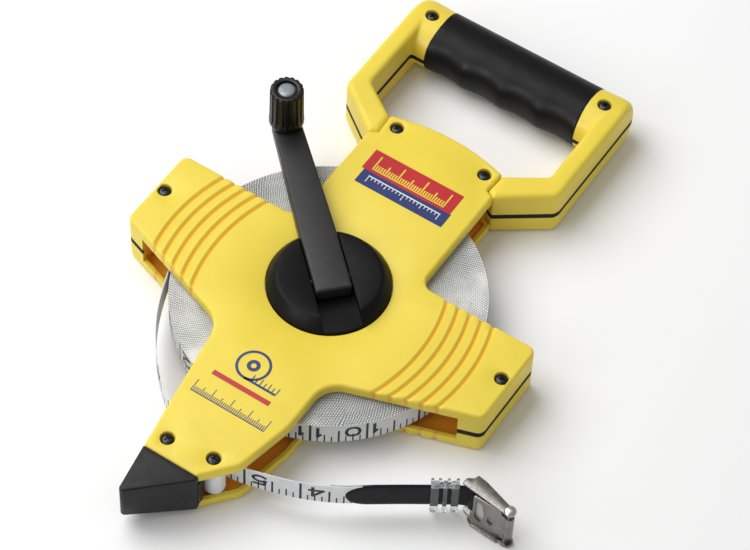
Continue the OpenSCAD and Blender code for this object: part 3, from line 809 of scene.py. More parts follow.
def handle_pieces():
    """The handle's front half, its back half and the dark strip between them."""
    piece = handle_side()
    bm = bmesh.new()
    bm.from_mesh(piece.data)
    mirrored = bm.copy()
    bmesh.ops.scale(mirrored, vec=(-1.0, 1.0, 1.0), verts=mirrored.verts)
    bmesh.ops.reverse_faces(mirrored, faces=mirrored.faces)
    spare = bpy.data.meshes.new("spare")
    mirrored.to_mesh(spare)
    mirrored.free()
    bm.from_mesh(spare)
    bpy.data.meshes.remove(spare)
    strip_low = SEAM_Z - STRIP_H / 2
    strip_high = SEAM_Z + STRIP_H / 2
    shells = []
    for name, planes in (
        ("handle_front_half", ((strip_high, True),)),
        ("handle_back_half", ((strip_low, False),)),
        ("handle_strip", ((strip_low, True), (strip_high, False))),
    ):
        half = bm.copy()
        for level, keep_above in planes:
            bmesh.ops.bisect_plane(
                half, geom=half.verts[:] + half.edges[:] + half.faces[:], dist=1e-7,
                plane_co=(0.0, 0.0, level * MM), plane_no=(0.0, 0.0, 1.0),
                clear_inner=keep_above, clear_outer=not keep_above,
            )
            bmesh.ops.holes_fill(half, edges=[e for e in half.edges if e.is_boundary], sides=0)
        bmesh.ops.recalc_face_normals(half, faces=half.faces)
        mesh = bpy.data.meshes.new(name)
        half.to_mesh(mesh)
        half.free()
        shell = bpy.data.objects.new(name, mesh)
        bpy.context.scene.collection.objects.link(shell)
        shade(shell, 40.0)
        shells.append(shell)
    bm.free()
    bpy.data.objects.remove(piece)
    wells = Solid()
    for at in HANDLE_SCREWS:
        wells.lathe([(0.0, FRAME_T - 2.0), (3.4, FRAME_T - 2.0), (3.4, FRAME_T - 0.5), (3.9, FRAME_T + 0.2),
                     (3.9, FRAME_T + 2.0), (0.0, FRAME_T + 2.0)], at, 40)
    cut(shells[0], wells.object("wells"))
    shade(shells[0], 40.0)
    return shells


handle_front, handle_back, handle_strip = handle_pieces()
finish_piece(handle_front, frame_yellow, "frame", ["handle_front_shell"])
finish_piece(handle_back, frame_yellow, "frame", ["handle_back_shell"])
finish_piece(handle_strip, seam_rubber, "frame", ["handle_seam_strip"])


def grip():
    """Rubber sleeve: a full oval with four finger hollows on the side that faces the reel."""
    pitch = 2 * GRIP_HALF / 4
    sleeve_t = 3.2
    reel_side = BAR_A + 0.55
    solid = Solid()
    rings = []
    stations = samples(-GRIP_HALF, GRIP_HALF, 0.8)
    ends = [(-GRIP_HALF, sleeve_t), (-GRIP_HALF, 0.8), (-GRIP_HALF + 0.25, 0.25)]
    plan = ends + [(x, 0.0) for x in stations if abs(x) < GRIP_HALF - 0.6]
    plan += [(-x, inset_by) for x, inset_by in reversed(ends)]
    for x, inset_by in plan:
        phase = (x + GRIP_HALF) / pitch
        hollow = 1.7 * abs(math.sin(math.pi * phase)) ** 1.4
        crown = 0.35 * (1.0 - (x / GRIP_HALF) ** 2)
        ring = []
        for u, v in superellipse(BAR_A + 0.15, reel_side, BAR_B, 2.12, 72):
            facing = max(0.0, -u / reel_side)
            shrink_u = 1.0 - inset_by / BAR_A
            shrink_v = 1.0 - inset_by / BAR_B
            push = hollow * facing ** 2.2
            ring.append((x, BAR_Y + u * shrink_u + (push - crown * facing if inset_by < 1 else 0.0),
                         BAR_B + v * shrink_v))
        rings.append(ring)
    ids = solid.loft(rings, ends=False)
    solid.bridge(ids[-1], ids[0])
    return solid.object("grip_sleeve", 45.0)


finish_piece(grip(), grip_rubber, "frame", ["handle_grip"])


# ---------------------------------------------------------------- screws

def screw_heads(name, places, top, seed):
    """Pan heads with a cross recess, each turned its own way, on short shanks."""
    rng = random.Random(seed)
    proto = Solid()
    proto.lathe([(0.0, 0.0), (0.9, -0.02), (1.8, -0.16), (2.5, -0.42), (2.95, -0.85), (3.1, -1.3),
                 (3.05, -1.6), (1.5, -1.6), (1.5, -3.2), (0.0, -3.2)], steps=36)
    head = proto.object("head")
    arms = Solid()
    for half_x, half_y, bottom_x, bottom_y, bottom in (
        (1.75, 0.36, 0.5, 0.9, -1.25), (0.36, 1.75, 0.9, 0.5, -1.26),
    ):
        arms.loft([
            [(x * half_x * taper_x, y * half_y * taper_y, z) for x, y in ((-1, -1), (1, -1), (1, 1), (-1, 1))]
            for taper_x, taper_y, z in ((bottom_x, bottom_y, bottom), (1.0, 1.0, 0.3))
        ])
    cut(head, arms.object("cross"))
    base = [tuple(v.co) for v in head.data.vertices]
    faces = [tuple(p.vertices) for p in head.data.polygons]
    bpy.data.objects.remove(head)
    solid = Solid()
    for x, y in places:
        turn = Matrix.Rotation(rng.uniform(0.0, math.pi / 2), 3, "Z")
        first = len(solid.verts)
        for vert in base:
            p = turn @ Vector(vert) / MM
            solid.verts.append((x + p.x, y + p.y, top + p.z))
        solid.faces += [tuple(first + i for i in face) for face in faces]
    return solid.object(name, 30.0)


for name, places, seed, cad_name in (
    ("frame_screw_heads", FRAME_SCREWS, 3, "frame_screws"),
    ("handle_screw_heads", HANDLE_SCREWS, 5, "handle_screws"),
):
    heads = screw_heads(name, places, FRAME_T - 0.4, seed)
    finish_piece(heads, screw_black, "frame", [cad_name])


# ---------------------------------------------------------------- hub, crank and knob

CRANK_TURN = math.radians(90.0 + 47.1)
CRANK_REACH = 88.7
HUB_R = 28.4
HUB_TOP = FRAME_T + 6.8
HINGE_S = -1.5
HINGE_Z = FRAME_T + 5.0
CRANK_T = 7.4
CRANK_W = 16.8
CRANK_TIP_W = 13.2
CHANNEL_W = CRANK_W + 1.6
CRANK_TOP = HINGE_Z + CRANK_T / 2
CRANK_LOW = HINGE_Z - CRANK_T / 2
COLLAR_H = 0.7
KNOB_LOW = CRANK_TOP + COLLAR_H + 0.1
KNOB_H = 22.9
KNOB_R = 7.95
KNOB_TOP = KNOB_LOW + KNOB_H


def along_crank(piece):
    """Turns a piece modelled along +X from the reel axis to lie along the crank."""
    piece.data.transform(Matrix.Rotation(CRANK_TURN, 4, "Z"))
    return piece


def box_solid(low, high):
    solid = Solid()
    rings = [[(low[0], low[1], z), (high[0], low[1], z), (high[0], high[1], z), (low[0], high[1], z)]
             for z in (low[2], high[2])]
    solid.loft(rings)
    return solid


def hub():
    """Tapered round hub with an open channel for the crank and a pocket that its inner end swings in."""
    solid = Solid()
    face_r = HUB_R - 5.0
    steps = 128
    solid.lathe([
        (9.0, 21.3), (9.0, 20.3), (31.8, 20.3), (31.8, 22.9), (HUB_R, 22.9), (HUB_R, 27.2),
        (HUB_R - 0.1, 27.6), (HUB_R - 0.5, 28.2), (face_r + 1.5, 33.1), (face_r + 0.8, 33.55),
        (face_r, 33.75), (face_r - 0.8, HUB_TOP), (0.0, HUB_TOP),
    ], steps=steps)
    solid.cap(range(steps))
    piece = solid.object("crank_hub_body", 30.0)
    half = CHANNEL_W / 2
    cut(piece, box_solid((-60.0, -half, CRANK_LOW - 0.3), (60.0, half, 60.0)).object("channel"))
    pocket = Solid()
    swing = circle((HINGE_S, HINGE_Z), 9.2, 64)
    pocket.loft([at_y(swing, y) for y in (-half + 0.02, half - 0.02)])
    cut(piece, pocket.object("pocket"))
    soften(piece, 0.35, 2, 32.0)
    return along_crank(piece)


finish_piece(hub(), hub_black, "reel", ["crank_hub"])


def crank():
    """Flat tapered arm with rounded rims and a square inner end."""
    half = CRANK_W / 2
    tip = CRANK_TIP_W / 2
    plan = (
        (-9.7, -half, 0.8), (25.0, -half, 60.0), (CRANK_REACH + tip, -tip, tip - 0.4),
        (CRANK_REACH + tip, tip, tip - 0.4), (25.0, half, 60.0), (-9.7, half, 0.8),
    )
    solid = Solid()
    rounded_slab(solid, plan, CRANK_LOW, CRANK_TOP, 0.8, 1.1, 1.5, 10, 4)
    return along_crank(solid.object("crank_lever", 35.0))


finish_piece(crank(), crank_grey, "crank", ["crank_arm"])


def knob():
    """Round knob with sixteen flutes that fade out above its foot, and a well for the rivet head."""
    flutes = 16
    steps = flutes * 12
    solid = Solid()
    levels = [
        (2.7, 0.0, 0.0), (KNOB_R - 0.4, 0.0, 0.0), (KNOB_R + 0.1, 0.15, 0.0), (KNOB_R + 0.3, 0.6, 0.0),
        (KNOB_R + 0.3, 2.2, 0.0), (KNOB_R + 0.22, 3.0, 0.15), (KNOB_R + 0.15, 3.8, 0.7),
        (KNOB_R + 0.1, 5.0, 1.0), (KNOB_R, 12.0, 1.0), (KNOB_R - 0.08, KNOB_H - 2.0, 1.0),
        (KNOB_R - 0.12, KNOB_H - 1.1, 1.0), (KNOB_R - 0.3, KNOB_H - 0.45, 0.9),
        (KNOB_R - 0.75, KNOB_H - 0.08, 0.6), (KNOB_R - 1.3, KNOB_H, 0.2),
        (5.3, KNOB_H, 0.0), (4.95, KNOB_H - 0.2, 0.0), (4.9, KNOB_H - 0.5, 0.0), (4.9, KNOB_H - 1.6, 0.0),
        (2.7, KNOB_H - 1.6, 0.0),
    ]
    rings = []
    for r, z, flute in levels:
        ring = []
        for k in range(steps):
            angle = 2 * math.pi * k / steps
            wave = max(0.0, math.cos(flutes * angle)) ** 0.8
            here = r - 0.75 * flute * wave
            ring.append((CRANK_REACH + here * math.cos(angle), here * math.sin(angle), KNOB_LOW + z))
        rings.append(ring)
    ids = solid.loft(rings, ends=False)
    solid.bridge(ids[-1], ids[0])
    return along_crank(solid.object("crank_knob_body", 38.0))


finish_piece(knob(), knob_black, "knob", ["crank_knob"])


def rivet():
    """Low grey head of the stud that the knob turns on."""
    head = KNOB_TOP - 1.5
    solid = Solid()
    solid.lathe([
        (0.0, head + 1.5), (2.2, head + 1.48), (3.3, head + 1.36), (3.85, head + 1.1), (4.2, head + 0.6),
        (4.25, head + 0.1), (4.1, head), (2.5, head), (2.5, CRANK_LOW + 0.2), (0.0, CRANK_LOW + 0.2),
    ], (CRANK_REACH, 0.0), 48)
    return along_crank(solid.object("knob_rivet", 40.0))


finish_piece(rivet(), stud_grey, "crank", ["knob_stud"])


# ---------------------------------------------------------------- tape

INCH = 25.4
LEAD_ROUTE = (
    (-72.4, -10.0), (-71.0, -17.5), (-68.9, -24.6), (-66.3, -32.2), (-63.3, -40.2),
    (-59.7, -48.4), (-55.2, -56.8), (-49.6, -65.1), (-43.0, -73.0), (-35.6, -80.3),
    (-28.4, -86.4), (-20.6, -91.9), (-12.5, -96.4), (-4.5, -99.3), (3.5, -100.4),
    (11.5, -100.4), (18.0, -99.9), (24.5, -98.6),
)
END_ROUTE = (
    (24.6, -98.56), (31.0, -96.8), (38.0, -94.6), (45.5, -91.9), (54.0, -88.1),
    (63.5, -82.8), (70.5, -77.7), (77.0, -73.1), (84.5, -67.8), (94.6, -60.9),
    (100.0, -57.3), (105.0, -54.0), (106.5, -53.1),
)
LOOP_PIN = (111.0, -51.3)
HINGE_PIN = (131.0, -54.6)
TAPE_MID = ROLL_Z + TAPE_W / 2
TAPE_T = 0.46
PRINT_T = 0.035
MOUTH_INCH = 4.93          # what the tape reads at the mouth
LABEL_TOP_INCH = 22.0      # what the outer turn reads at ROLL_MARK_ANGLE
ROLL_MARK_ANGLE = -42.3

lead_line = Line(smooth_route(LEAD_ROUTE))
end_line = Line(smooth_route(END_ROUTE))

tape_white = Mat("tape_white", (0.72, 0.73, 0.72), 0.46)
tape_white.base(tape_white.ramp(
    tape_white.noise(300.0, 4.0), [(0.3, (0.70, 0.73, 0.74)), (0.75, (0.82, 0.85, 0.86))]))
tape_white.rough(tape_white.ramp(tape_white.noise(500.0, 4.0), [(0.3, (0.40,)), (0.7, (0.55,))]))
tape_white.bump(tape_white.noise(3500.0, 2.0), 0.00002, 0.4)
print_black = moulded("print_black", (0.014, 0.015, 0.018), 0.5)


def band(name, line, length, step=1.0):
    """The tape on edge along a line, with slightly rounded rims."""
    solid = Solid()
    h = TAPE_T / 2
    half = TAPE_W / 2
    e = h * 0.45
    section = [(-h + e, -half), (h - e, -half), (h, -half + e), (h, half - e),
               (h - e, half), (-h + e, half), (-h, half - e), (-h, -half + e)]
    rings = []
    for s in samples(0.0, length, step):
        p, n = line.at(s)
        rings.append([(p.x + n.x * u, p.y + n.y * u, TAPE_MID + v) for u, v in section])
    solid.loft(rings)
    return solid.object(name, 40.0)


def tick_size(eighth):
    """Length and thickness of a graduation: the inch, the half, the quarter or the eighth."""
    if eighth % 8 == 0:
        return 12.3, 1.1
    if eighth % 4 == 0:
        return 8.6, 0.9
    return (5.6, 0.68) if eighth % 2 == 0 else (4.0, 0.6)


DIGIT_H = 7.7
DIGIT_W = 7.5              # numerals are drawn wide, except the 1
DIGIT_LOW = ROLL_Z + 3.4
ONE_W = 2.7
DIGIT_PEN = 1.5
DIGIT_OFF = 3.2            # from the inch mark to a numeral of one digit
PAIR_OFF = 2.6             # from the inch mark to each digit of a pair
TICK_LOW = ROLL_Z + 0.15
ROUND = True
STRAIGHT = False
DIGIT_STROKES = {
    "0": ((ROUND, ((0.5, 1.0), (0.86, 0.88), (1.0, 0.5), (0.86, 0.12), (0.5, 0.0), (0.14, 0.12), (0.0, 0.5),
                   (0.14, 0.88), (0.5, 1.0))),),
    "1": ((STRAIGHT, ((0.0, 0.8), (1.0, 1.0))), (STRAIGHT, ((1.0, 1.0), (1.0, 0.0)))),
    "2": ((ROUND, ((0.0, 0.74), (0.14, 0.94), (0.5, 1.0), (0.86, 0.93), (0.98, 0.74), (0.84, 0.5),
                   (0.42, 0.24), (0.0, 0.0))),
          (STRAIGHT, ((0.0, 0.0), (1.0, 0.0)))),
    "3": ((ROUND, ((0.02, 0.82), (0.2, 0.96), (0.52, 1.0), (0.86, 0.93), (0.94, 0.76), (0.8, 0.58),
                   (0.4, 0.53))),
          (ROUND, ((0.4, 0.53), (0.84, 0.49), (1.0, 0.28), (0.86, 0.07), (0.5, 0.0), (0.16, 0.04),
                   (0.0, 0.2)))),
    "4": ((STRAIGHT, ((0.76, 0.0), (0.76, 1.0), (0.0, 0.3), (1.0, 0.3))),),
    "5": ((STRAIGHT, ((0.92, 1.0), (0.14, 1.0), (0.06, 0.5))),
          (ROUND, ((0.06, 0.5), (0.34, 0.63), (0.72, 0.62), (0.98, 0.42), (0.96, 0.18), (0.7, 0.01),
                   (0.34, 0.0), (0.0, 0.16)))),
    "6": ((ROUND, ((0.92, 0.88), (0.7, 1.0), (0.36, 0.95), (0.08, 0.7), (0.0, 0.36), (0.14, 0.08), (0.5, 0.0),
                   (0.86, 0.07), (1.0, 0.31), (0.86, 0.54), (0.5, 0.61), (0.16, 0.54), (0.01, 0.34))),),
    "7": ((STRAIGHT, ((0.0, 1.0), (1.0, 1.0), (0.36, 0.0))),),
    "8": ((ROUND, ((0.5, 1.0), (0.84, 0.94), (0.93, 0.77), (0.8, 0.6), (0.5, 0.54), (0.2, 0.6), (0.07, 0.77),
                   (0.16, 0.94), (0.5, 1.0))),
          (ROUND, ((0.5, 0.54), (0.86, 0.48), (1.0, 0.27), (0.86, 0.06), (0.5, 0.0), (0.14, 0.06),
                   (0.0, 0.27), (0.14, 0.48), (0.5, 0.54)))),
    "9": ((ROUND, ((0.08, 0.12), (0.3, 0.0), (0.64, 0.05), (0.92, 0.3), (1.0, 0.64), (0.86, 0.92), (0.5, 1.0),
                   (0.14, 0.93), (0.0, 0.69), (0.14, 0.46), (0.5, 0.39), (0.84, 0.46), (0.99, 0.66))),),
}


def digit_shape(text):
    """A numeral drawn with a pen of one width, as flat quads, and its half width."""
    wide = ONE_W if text == "1" else DIGIT_W
    pen = DIGIT_PEN / 2
    verts = []
    faces = []
    for is_round, points in DIGIT_STROKES[text]:
        line = [Vector((pen + u * (wide - DIGIT_PEN) - wide / 2, pen + v * (DIGIT_H - DIGIT_PEN)))
                for u, v in points]
        if is_round:
            line = smooth_route(line, 4)
        for a, b in zip(line, line[1:]):
            along = (b - a).normalized() * pen
            over = along * (0.2 if is_round else 0.9)
            across = Vector((-along.y, along.x))
            first = len(verts)
            parts = math.ceil((b - a + 2 * over).length / 1.3)
            for k in range(parts + 1):
                middle = (a - over).lerp(b + over, k / parts)
                verts += [tuple(middle - across), tuple(middle + across)]
            faces += [(i, i + 2, i + 3, i + 1) for i in range(first, first + 2 * parts, 2)]
    return verts, faces, wide / 2


DIGITS = {str(n): digit_shape(str(n)) for n in range(10)}


def add_print(solid, place, low_inch, high_inch, inch_to_s):
    """Graduations and upside-down numerals between two readings.

    place(s, z, lift) gives the point on the printed face, lift off it.
    """

    def patch(points, faces):
        first = len(solid.verts)
        solid.verts += [place(s, z, PRINT_T) for s, z in points]
        solid.faces += [tuple(first + i for i in face) for face in faces]

    def bar(s, width, z_low, z_high):
        points = [(s + side * width / 2, z) for z in samples(z_low, z_high, 2.5) for side in (-1, 1)]
        patch(points, [(2 * k, 2 * k + 1, 2 * k + 3, 2 * k + 2) for k in range(len(points) // 2 - 1)])

    for eighth in range(math.ceil(low_inch * 8), math.floor(high_inch * 8) + 1):
        tall, wide = tick_size(eighth)
        bar(inch_to_s(eighth / 8), wide, TICK_LOW, TICK_LOW + tall)
    for inch in range(math.ceil(low_inch), math.floor(high_inch) + 2):
        text = str((inch - 1) % 12 + 1)
        half = DIGITS[text[0]][2]
        spots = [((DIGIT_OFF if len(text) == 1 else PAIR_OFF) + half, text[0])]
        if len(text) == 2:
            spots.append((-PAIR_OFF - DIGITS[text[1]][2], text[1]))
        for shift, digit in spots:
            verts, faces, half = DIGITS[digit]
            if low_inch < inch - (shift + half) / INCH and inch - (shift - half) / INCH < high_inch:
                centre = inch_to_s(inch) + shift
                patch([(centre - x, DIGIT_LOW + DIGIT_H - y) for x, y in verts], faces)


def place_on(line):
    """Points on the face of a band that looks away from the roll."""

    def place(s, z, lift):
        p, n = line.at(min(max(s, 0.0), line.length))
        off = TAPE_T / 2 + lift
        return (p.x - n.x * off, p.y - n.y * off, z)

    return place


def printing(name, place, low_inch, high_inch, inch_to_s):
    solid = Solid()
    add_print(solid, place, low_inch, high_inch, inch_to_s)
    return solid.object(name, 40.0)


free_band = band("free_tape", end_line, end_line.length)
finish_piece(free_band, tape_white, "frame", ["tape_end"])

tuck_route = [(p.x, p.y) for p in end_line.points if p.x > 58.5]
tuck_line = Line([(x - 0.5, y + 0.75) for x, y in tuck_route])
tuck = band("tucked_tape_end", tuck_line, tuck_line.length - 1.0)
finish_piece(tuck, tape_white, "frame")

free_print = printing("free_tape_print", place_on(end_line), 1.9, MOUTH_INCH,
                      lambda inch: (MOUTH_INCH - inch) * INCH)
finish_piece(free_print, print_black, "frame")

lead_band = band("lead_tape", lead_line, lead_line.length, 1.5)
finish_piece(lead_band, tape_white, "frame", ["tape_lead"])
lead_print = printing("lead_tape_print", place_on(lead_line), MOUTH_INCH,
                      MOUTH_INCH + lead_line.length / INCH - 0.05,
                      lambda inch: lead_line.length - (inch - MOUTH_INCH) * INCH)
finish_piece(lead_print, print_black, "frame")


# ---------------------------------------------------------------- wound tape

LAYER = 0.45                # pitch of the turns
ROLL_WAVE = 0.03            # how far each turn's edge wanders up and down


def wound_roll():
    """The wound tape: every turn is a ridge of its own height, and the side faces wander a little."""
    rng = random.Random(11)
    steps = 200
    core = DRUM_R + 0.7
    turns = int((ROLL_R - core) / LAYER)
    pitch = (ROLL_R - core) / turns
    solid = Solid()

    def ring(r, z, wave, phase):
        points = []
        for k in range(steps):
            a = 2 * math.pi * k / steps
            lift = wave * math.sin(a * 2 + phase) + wave * 0.6 * math.sin(a * 5 + 3 * phase)
            points.append((r * math.cos(a), r * math.sin(a), z + lift))
        return solid.add(points)

    sides = []
    for face in (1, -1):
        rings = []
        drift = 0.0
        for turn in range(turns):
            drift = 0.85 * drift + rng.uniform(-0.07, 0.07)
            lower = 0.22 + drift + rng.uniform(0.0, 0.1)
            lower = min(0.5, max(0.06, lower))
            z = (ROLL_Z + TAPE_W - lower) if face > 0 else (ROLL_Z + lower)
            phase = turn * 0.11
            r = core + turn * pitch
            rings.append(ring(r + 0.04, z - face * 0.16, ROLL_WAVE, phase))
            rings.append(ring(r + 0.13, z, ROLL_WAVE, phase))
            rings.append(ring(r + pitch - 0.09, z, ROLL_WAVE, phase))
        sides.append(rings)
    top, low = sides
    outer_top = ring(ROLL_R, ROLL_Z + TAPE_W - 0.25, 0.0, 0.0)
    outer_low = ring(ROLL_R, ROLL_Z + 0.25, 0.0, 0.0)
    loop = top + [outer_top, outer_low] + low[::-1]
    for a, b in zip(loop, loop[1:]):
        solid.bridge(a, b)
    solid.bridge(loop[-1], loop[0])
    return solid.object("wound_tape", 50.0)


def woven_side():
    """Tape seen edge on: pale coating with a grey dash for each bundle of glass threads, turn by turn."""
    m = Mat("woven_side", (0.6, 0.6, 0.6), 0.6)
    split = m.node("ShaderNodeSeparateXYZ", Vector=m.coords)
    x, y = split.outputs[0], split.outputs[1]
    radius = m.math("SQRT", m.math("ADD", m.math("MULTIPLY", x, x), m.math("MULTIPLY", y, y)))
    angle = m.math("ARCTAN2", y, x)
    turn = m.math("DIVIDE", radius, 1.9 * LAYER * MM)
    whole = m.math("FLOOR", turn)
    across = m.math("FRACT", turn)
    wobble = m.math("MULTIPLY", m.noise(170.0, 2.0), 11.0)
    along = m.math("ADD", m.math("MULTIPLY", angle, 330.0), m.math("MULTIPLY", whole, 2.4))
    dash = m.math("SINE", m.math("ADD", along, wobble))
    ridge = m.math("SINE", m.math("MULTIPLY", across, math.pi))
    weave = m.math("MULTIPLY", m.math("MULTIPLY", m.math("ADD", dash, 1.0), 0.5), ridge)
    patchy = m.ramp(m.noise(26.0, 3.0), [(0.35, (0.45,)), (0.65, (1.0,))])
    dark = m.math("MULTIPLY", m.math("SUBTRACT", 1.0, weave), patchy)
    color = m.ramp(dark, [(0.2, (0.95, 0.95, 0.92)), (0.85, (0.22, 0.23, 0.25))])
    flecks = m.ramp(m.noise(750.0, 1.0), [(0.70, (0.0,)), (0.74, (1.0,))])
    color = m.mix(m.math("MULTIPLY", flecks, 0.45), color, (0.05, 0.05, 0.06, 1.0))
    # Dark rings at random radii: painted shade in the gaps between turns.
    outwards = m.node("ShaderNodeCombineXYZ", X=m.math("MULTIPLY", radius, 900.0)).outputs[0]
    gap_shade = m.ramp(m.noise(1.0, 2.0, coords=outwards), [(0.66, (0.0,)), (0.70, (1.0,))])
    color = m.mix(m.math("MULTIPLY", gap_shade, 0.45), color, (0.10, 0.10, 0.11, 1.0))
    normal = m.node("ShaderNodeNewGeometry").outputs["Normal"]
    facing = m.math("ABSOLUTE", m.node("ShaderNodeSeparateXYZ", Vector=normal).outputs[2])
    is_side = m.math("GREATER_THAN", facing, 0.3)
    m.base(m.mix(is_side, (0.70, 0.71, 0.70, 1.0), color))
    m.bump(weave, 0.00018, 0.7)
    return m


finish_piece(wound_roll(), woven_side(), "reel", ["tape_roll"])


def roll_place(s, z, lift):
    """Points on the outer turn; s runs the way the pay-out turns, in millimetres from +X."""
    angle = s / ROLL_R
    r = ROLL_R + lift - 0.01
    return (r * math.cos(angle), r * math.sin(angle), z)


def roll_inch_to_s(inch):
    return math.radians(ROLL_MARK_ANGLE) * ROLL_R - (inch - LABEL_TOP_INCH) * INCH


roll_print = printing("wound_tape_print", roll_place, 10.6, 28.2, roll_inch_to_s)
finish_piece(roll_print, print_black, "reel")


# ---------------------------------------------------------------- end of the tape

SLEEVE_START = 43.2
SLEEVE_LOW = 6.4
SLEEVE_HIGH = 21.0
sleeve_line = Line(smooth_route(END_ROUTE + (LOOP_PIN,)))


def end_sleeve():
    """Black sleeve with a long rounded nose, flat along the tape and looped round the bracket's pin."""
    mid = (SLEEVE_LOW + SLEEVE_HIGH) / 2
    tall = (SLEEVE_HIGH - SLEEVE_LOW) / 2

    def reach(t, length):
        """Height of an elliptical nose at a distance behind its point."""
        return tall * math.sqrt(max(0.0, 1.0 - max(0.0, 1.0 - t / length) ** 2))

    solid = Solid()
    rings = []
    stations = [13.4 * (1 - math.cos(math.pi / 2 * k / 22)) + 0.02 for k in range(23)]
    stations += samples(14.2, sleeve_line.length - SLEEVE_START, 1.2)
    for t in stations:
        p, n = sleeve_line.at(SLEEVE_START + t)
        up, down = reach(t, 13.3), reach(t, 10.0)
        thick = 0.95 * min(1.0, 0.3 + t / 2.5)
        middle = mid + (up - down) / 2
        section = superellipse(thick, thick, (up + down) / 2 + 0.05, 4.0, 40)
        rings.append([(p.x + n.x * u, p.y + n.y * u, middle + v) for u, v in section])
    solid.loft(rings)
    solid.lathe([(1.08, SLEEVE_LOW), (2.2, SLEEVE_LOW), (2.5, SLEEVE_LOW + 0.3), (2.5, SLEEVE_HIGH - 0.3),
                 (2.2, SLEEVE_HIGH), (1.08, SLEEVE_HIGH), (1.08, SLEEVE_LOW)], LOOP_PIN, 32)
    return solid.object("tape_sleeve", 50.0)


sleeve = end_sleeve()
finish_piece(sleeve, sleeve_black, "frame", ["end_sleeve"])


CLIP_START = Vector((94.6, -60.9))
CLIP_END = Vector((105.0, -54.0))


def clear_clip():
    """Clear clip: three ribs with rounded feet round the sleeve, a web over them and four small posts."""
    along = (CLIP_END - CLIP_START).normalized()
    across = Vector((-along.y, along.x))
    solid = Solid()

    def place(s, u, z):
        p = CLIP_START + along * s + across * u
        return (p.x, p.y, z)

    def block(s0, s1, u0, u1, z0, z1, edge):
        corners = [place(s, u, 0.0)[:2] + (0.4,) for s, u in ((s0, u0), (s1, u0), (s1, u1), (s0, u1))]
        rounded_slab(solid, corners, z0, z1, edge, edge, 2.0, 4, 2)

    for s0, s1 in ((0.0, 3.64), (5.41, 7.39), (9.1, 12.48)):
        block(s0, s1, -2.1, 2.1, 3.6, 22.2, 0.3)
        foot = (s1 - s0) / 2
        middle = (s0 + s1) / 2
        profile = [(middle + foot * math.cos(a), 3.9 + 1.7 * math.sin(a))
                   for a in (math.pi + math.pi * k / 12 for k in range(13))]
        solid.loft([[place(s, u, z) for s, z in profile] for u in (-1.95, 1.95)])
    block(0.2, 12.28, -1.5, 1.5, 21.2, 22.0, 0.2)
    for s0 in (0.0, 3.35, 7.2, 11.1):
        block(s0, s0 + 1.35, 1.0, 2.0, 21.8, 24.3, 0.15)
    return solid.object("clear_clip", 40.0)


clip = clear_clip()
finish_piece(clip, clip_clear, "frame", ["crimp_collar"])

HOOK_H = 25.0
PLATE_T = 1.2
CLAW_Y = -56.2


def bracket():
    """Folded sheet-metal bracket: a flange above and below and the web behind them."""
    upper = (
        (106.0, -54.0, 1.0), (129.7, -56.7, 0.4), (131.0, -57.4, 1.6), (133.7, -56.2, 2.4),
        (133.3, -52.2, 2.0), (128.7, -52.0, 2.0), (120.1, -49.2, 8.0), (114.9, -47.6, 6.0),
        (110.1, -46.8, 0.6), (109.1, -49.3, 0.8), (106.5, -50.6, 1.8),
    )
    lower = (
        (106.2, -51.9, 0.8), (110.4, -53.6, 0.3), (110.6, -55.0, 0.3), (113.4, -57.1, 0.9),
        (127.3, -58.1, 0.6), (127.5, -56.9, 0.3), (129.3, -57.8, 1.0), (133.7, -57.6, 2.6),
        (133.9, -52.4, 2.4), (128.5, -51.8, 1.0), (110.2, -46.9, 1.0), (106.6, -48.9, 1.5),
    )
    web = ((110.4, -48.3, 0.2), (128.2, -53.1, 0.2), (128.2, -51.9, 0.2), (110.4, -47.1, 0.2))
    solid = Solid()
    rounded_slab(solid, upper, HOOK_H - PLATE_T, HOOK_H, 0.12, 0.35, 1.0, 8, 3)
    rounded_slab(solid, lower, 0.0, PLATE_T, 0.3, 0.12, 1.0, 8, 3)
    rounded_slab(solid, web, 0.1, HOOK_H - 0.1, 0.05, 0.05, 4.0, 3, 1)
    return solid.object("hook_bracket_plates", 40.0)


finish_piece(bracket(), hook_nickel, "hook", ["hook_bracket"])


def claw():
    """Front plate of the hook, with a D-shaped slot and a small pierced tab, curled round its pin."""
    outline = [
        (127.6, 1.5, 0.4), (127.6, 2.6, 0.3), (130.4, 2.6, 0.3), (130.4, 20.2, 0.3), (127.9, 20.4, 0.4),
        (127.2, 23.4, 0.4), (113.3, 23.4, 0.8), (113.5, 12.0, 2.0), (111.5, 4.2, 0.8), (113.6, 1.5, 1.2),
    ]
    rounds = ((0.2, 0.0), (0.06, 0.06), (0.0, 0.2), (0.0, PLATE_T - 0.2), (0.06, PLATE_T - 0.06),
              (0.2, PLATE_T))
    rings = outline_rings(counter_clockwise(outline), [d for d, _ in rounds], 1.5, 8)
    solid = Solid()
    solid.loft([at_y(ring, CLAW_Y + depth) for ring, (_, depth) in zip(rings, rounds)])
    piece = solid.object("hook_front_plate", 40.0)
    slots = Solid()
    d_shape = [(114.5, 7.2, 0.5), (118.0, 4.4, 0.7), (119.3, 12.3, 8.0), (118.2, 19.8, 1.0),
               (114.6, 21.2, 0.5)]
    tab = [(120.9, 9.3, 0.2), (123.2, 7.1, 0.2), (124.3, 11.1, 0.2), (121.4, 13.4, 0.2)]
    for shape in (d_shape, tab):
        ring = outline_rings(counter_clockwise(shape), [0.0], 1.0, 8)[0]
        slots.loft([at_y(ring, CLAW_Y + depth) for depth in (-2.0, 3.0)])
    cut(piece, slots.object("slots"))
    soften(piece, 0.1, 2, 50.0)
    curl = Solid()
    curl.lathe([(1.15, 1.5), (2.05, 1.5), (2.2, 1.7), (2.2, 20.1), (2.05, 20.3), (1.15, 20.3), (1.15, 1.5)],
               HINGE_PIN, 40)
    return join([piece, curl.object("curl", 40.0)], "hook_front_plate")


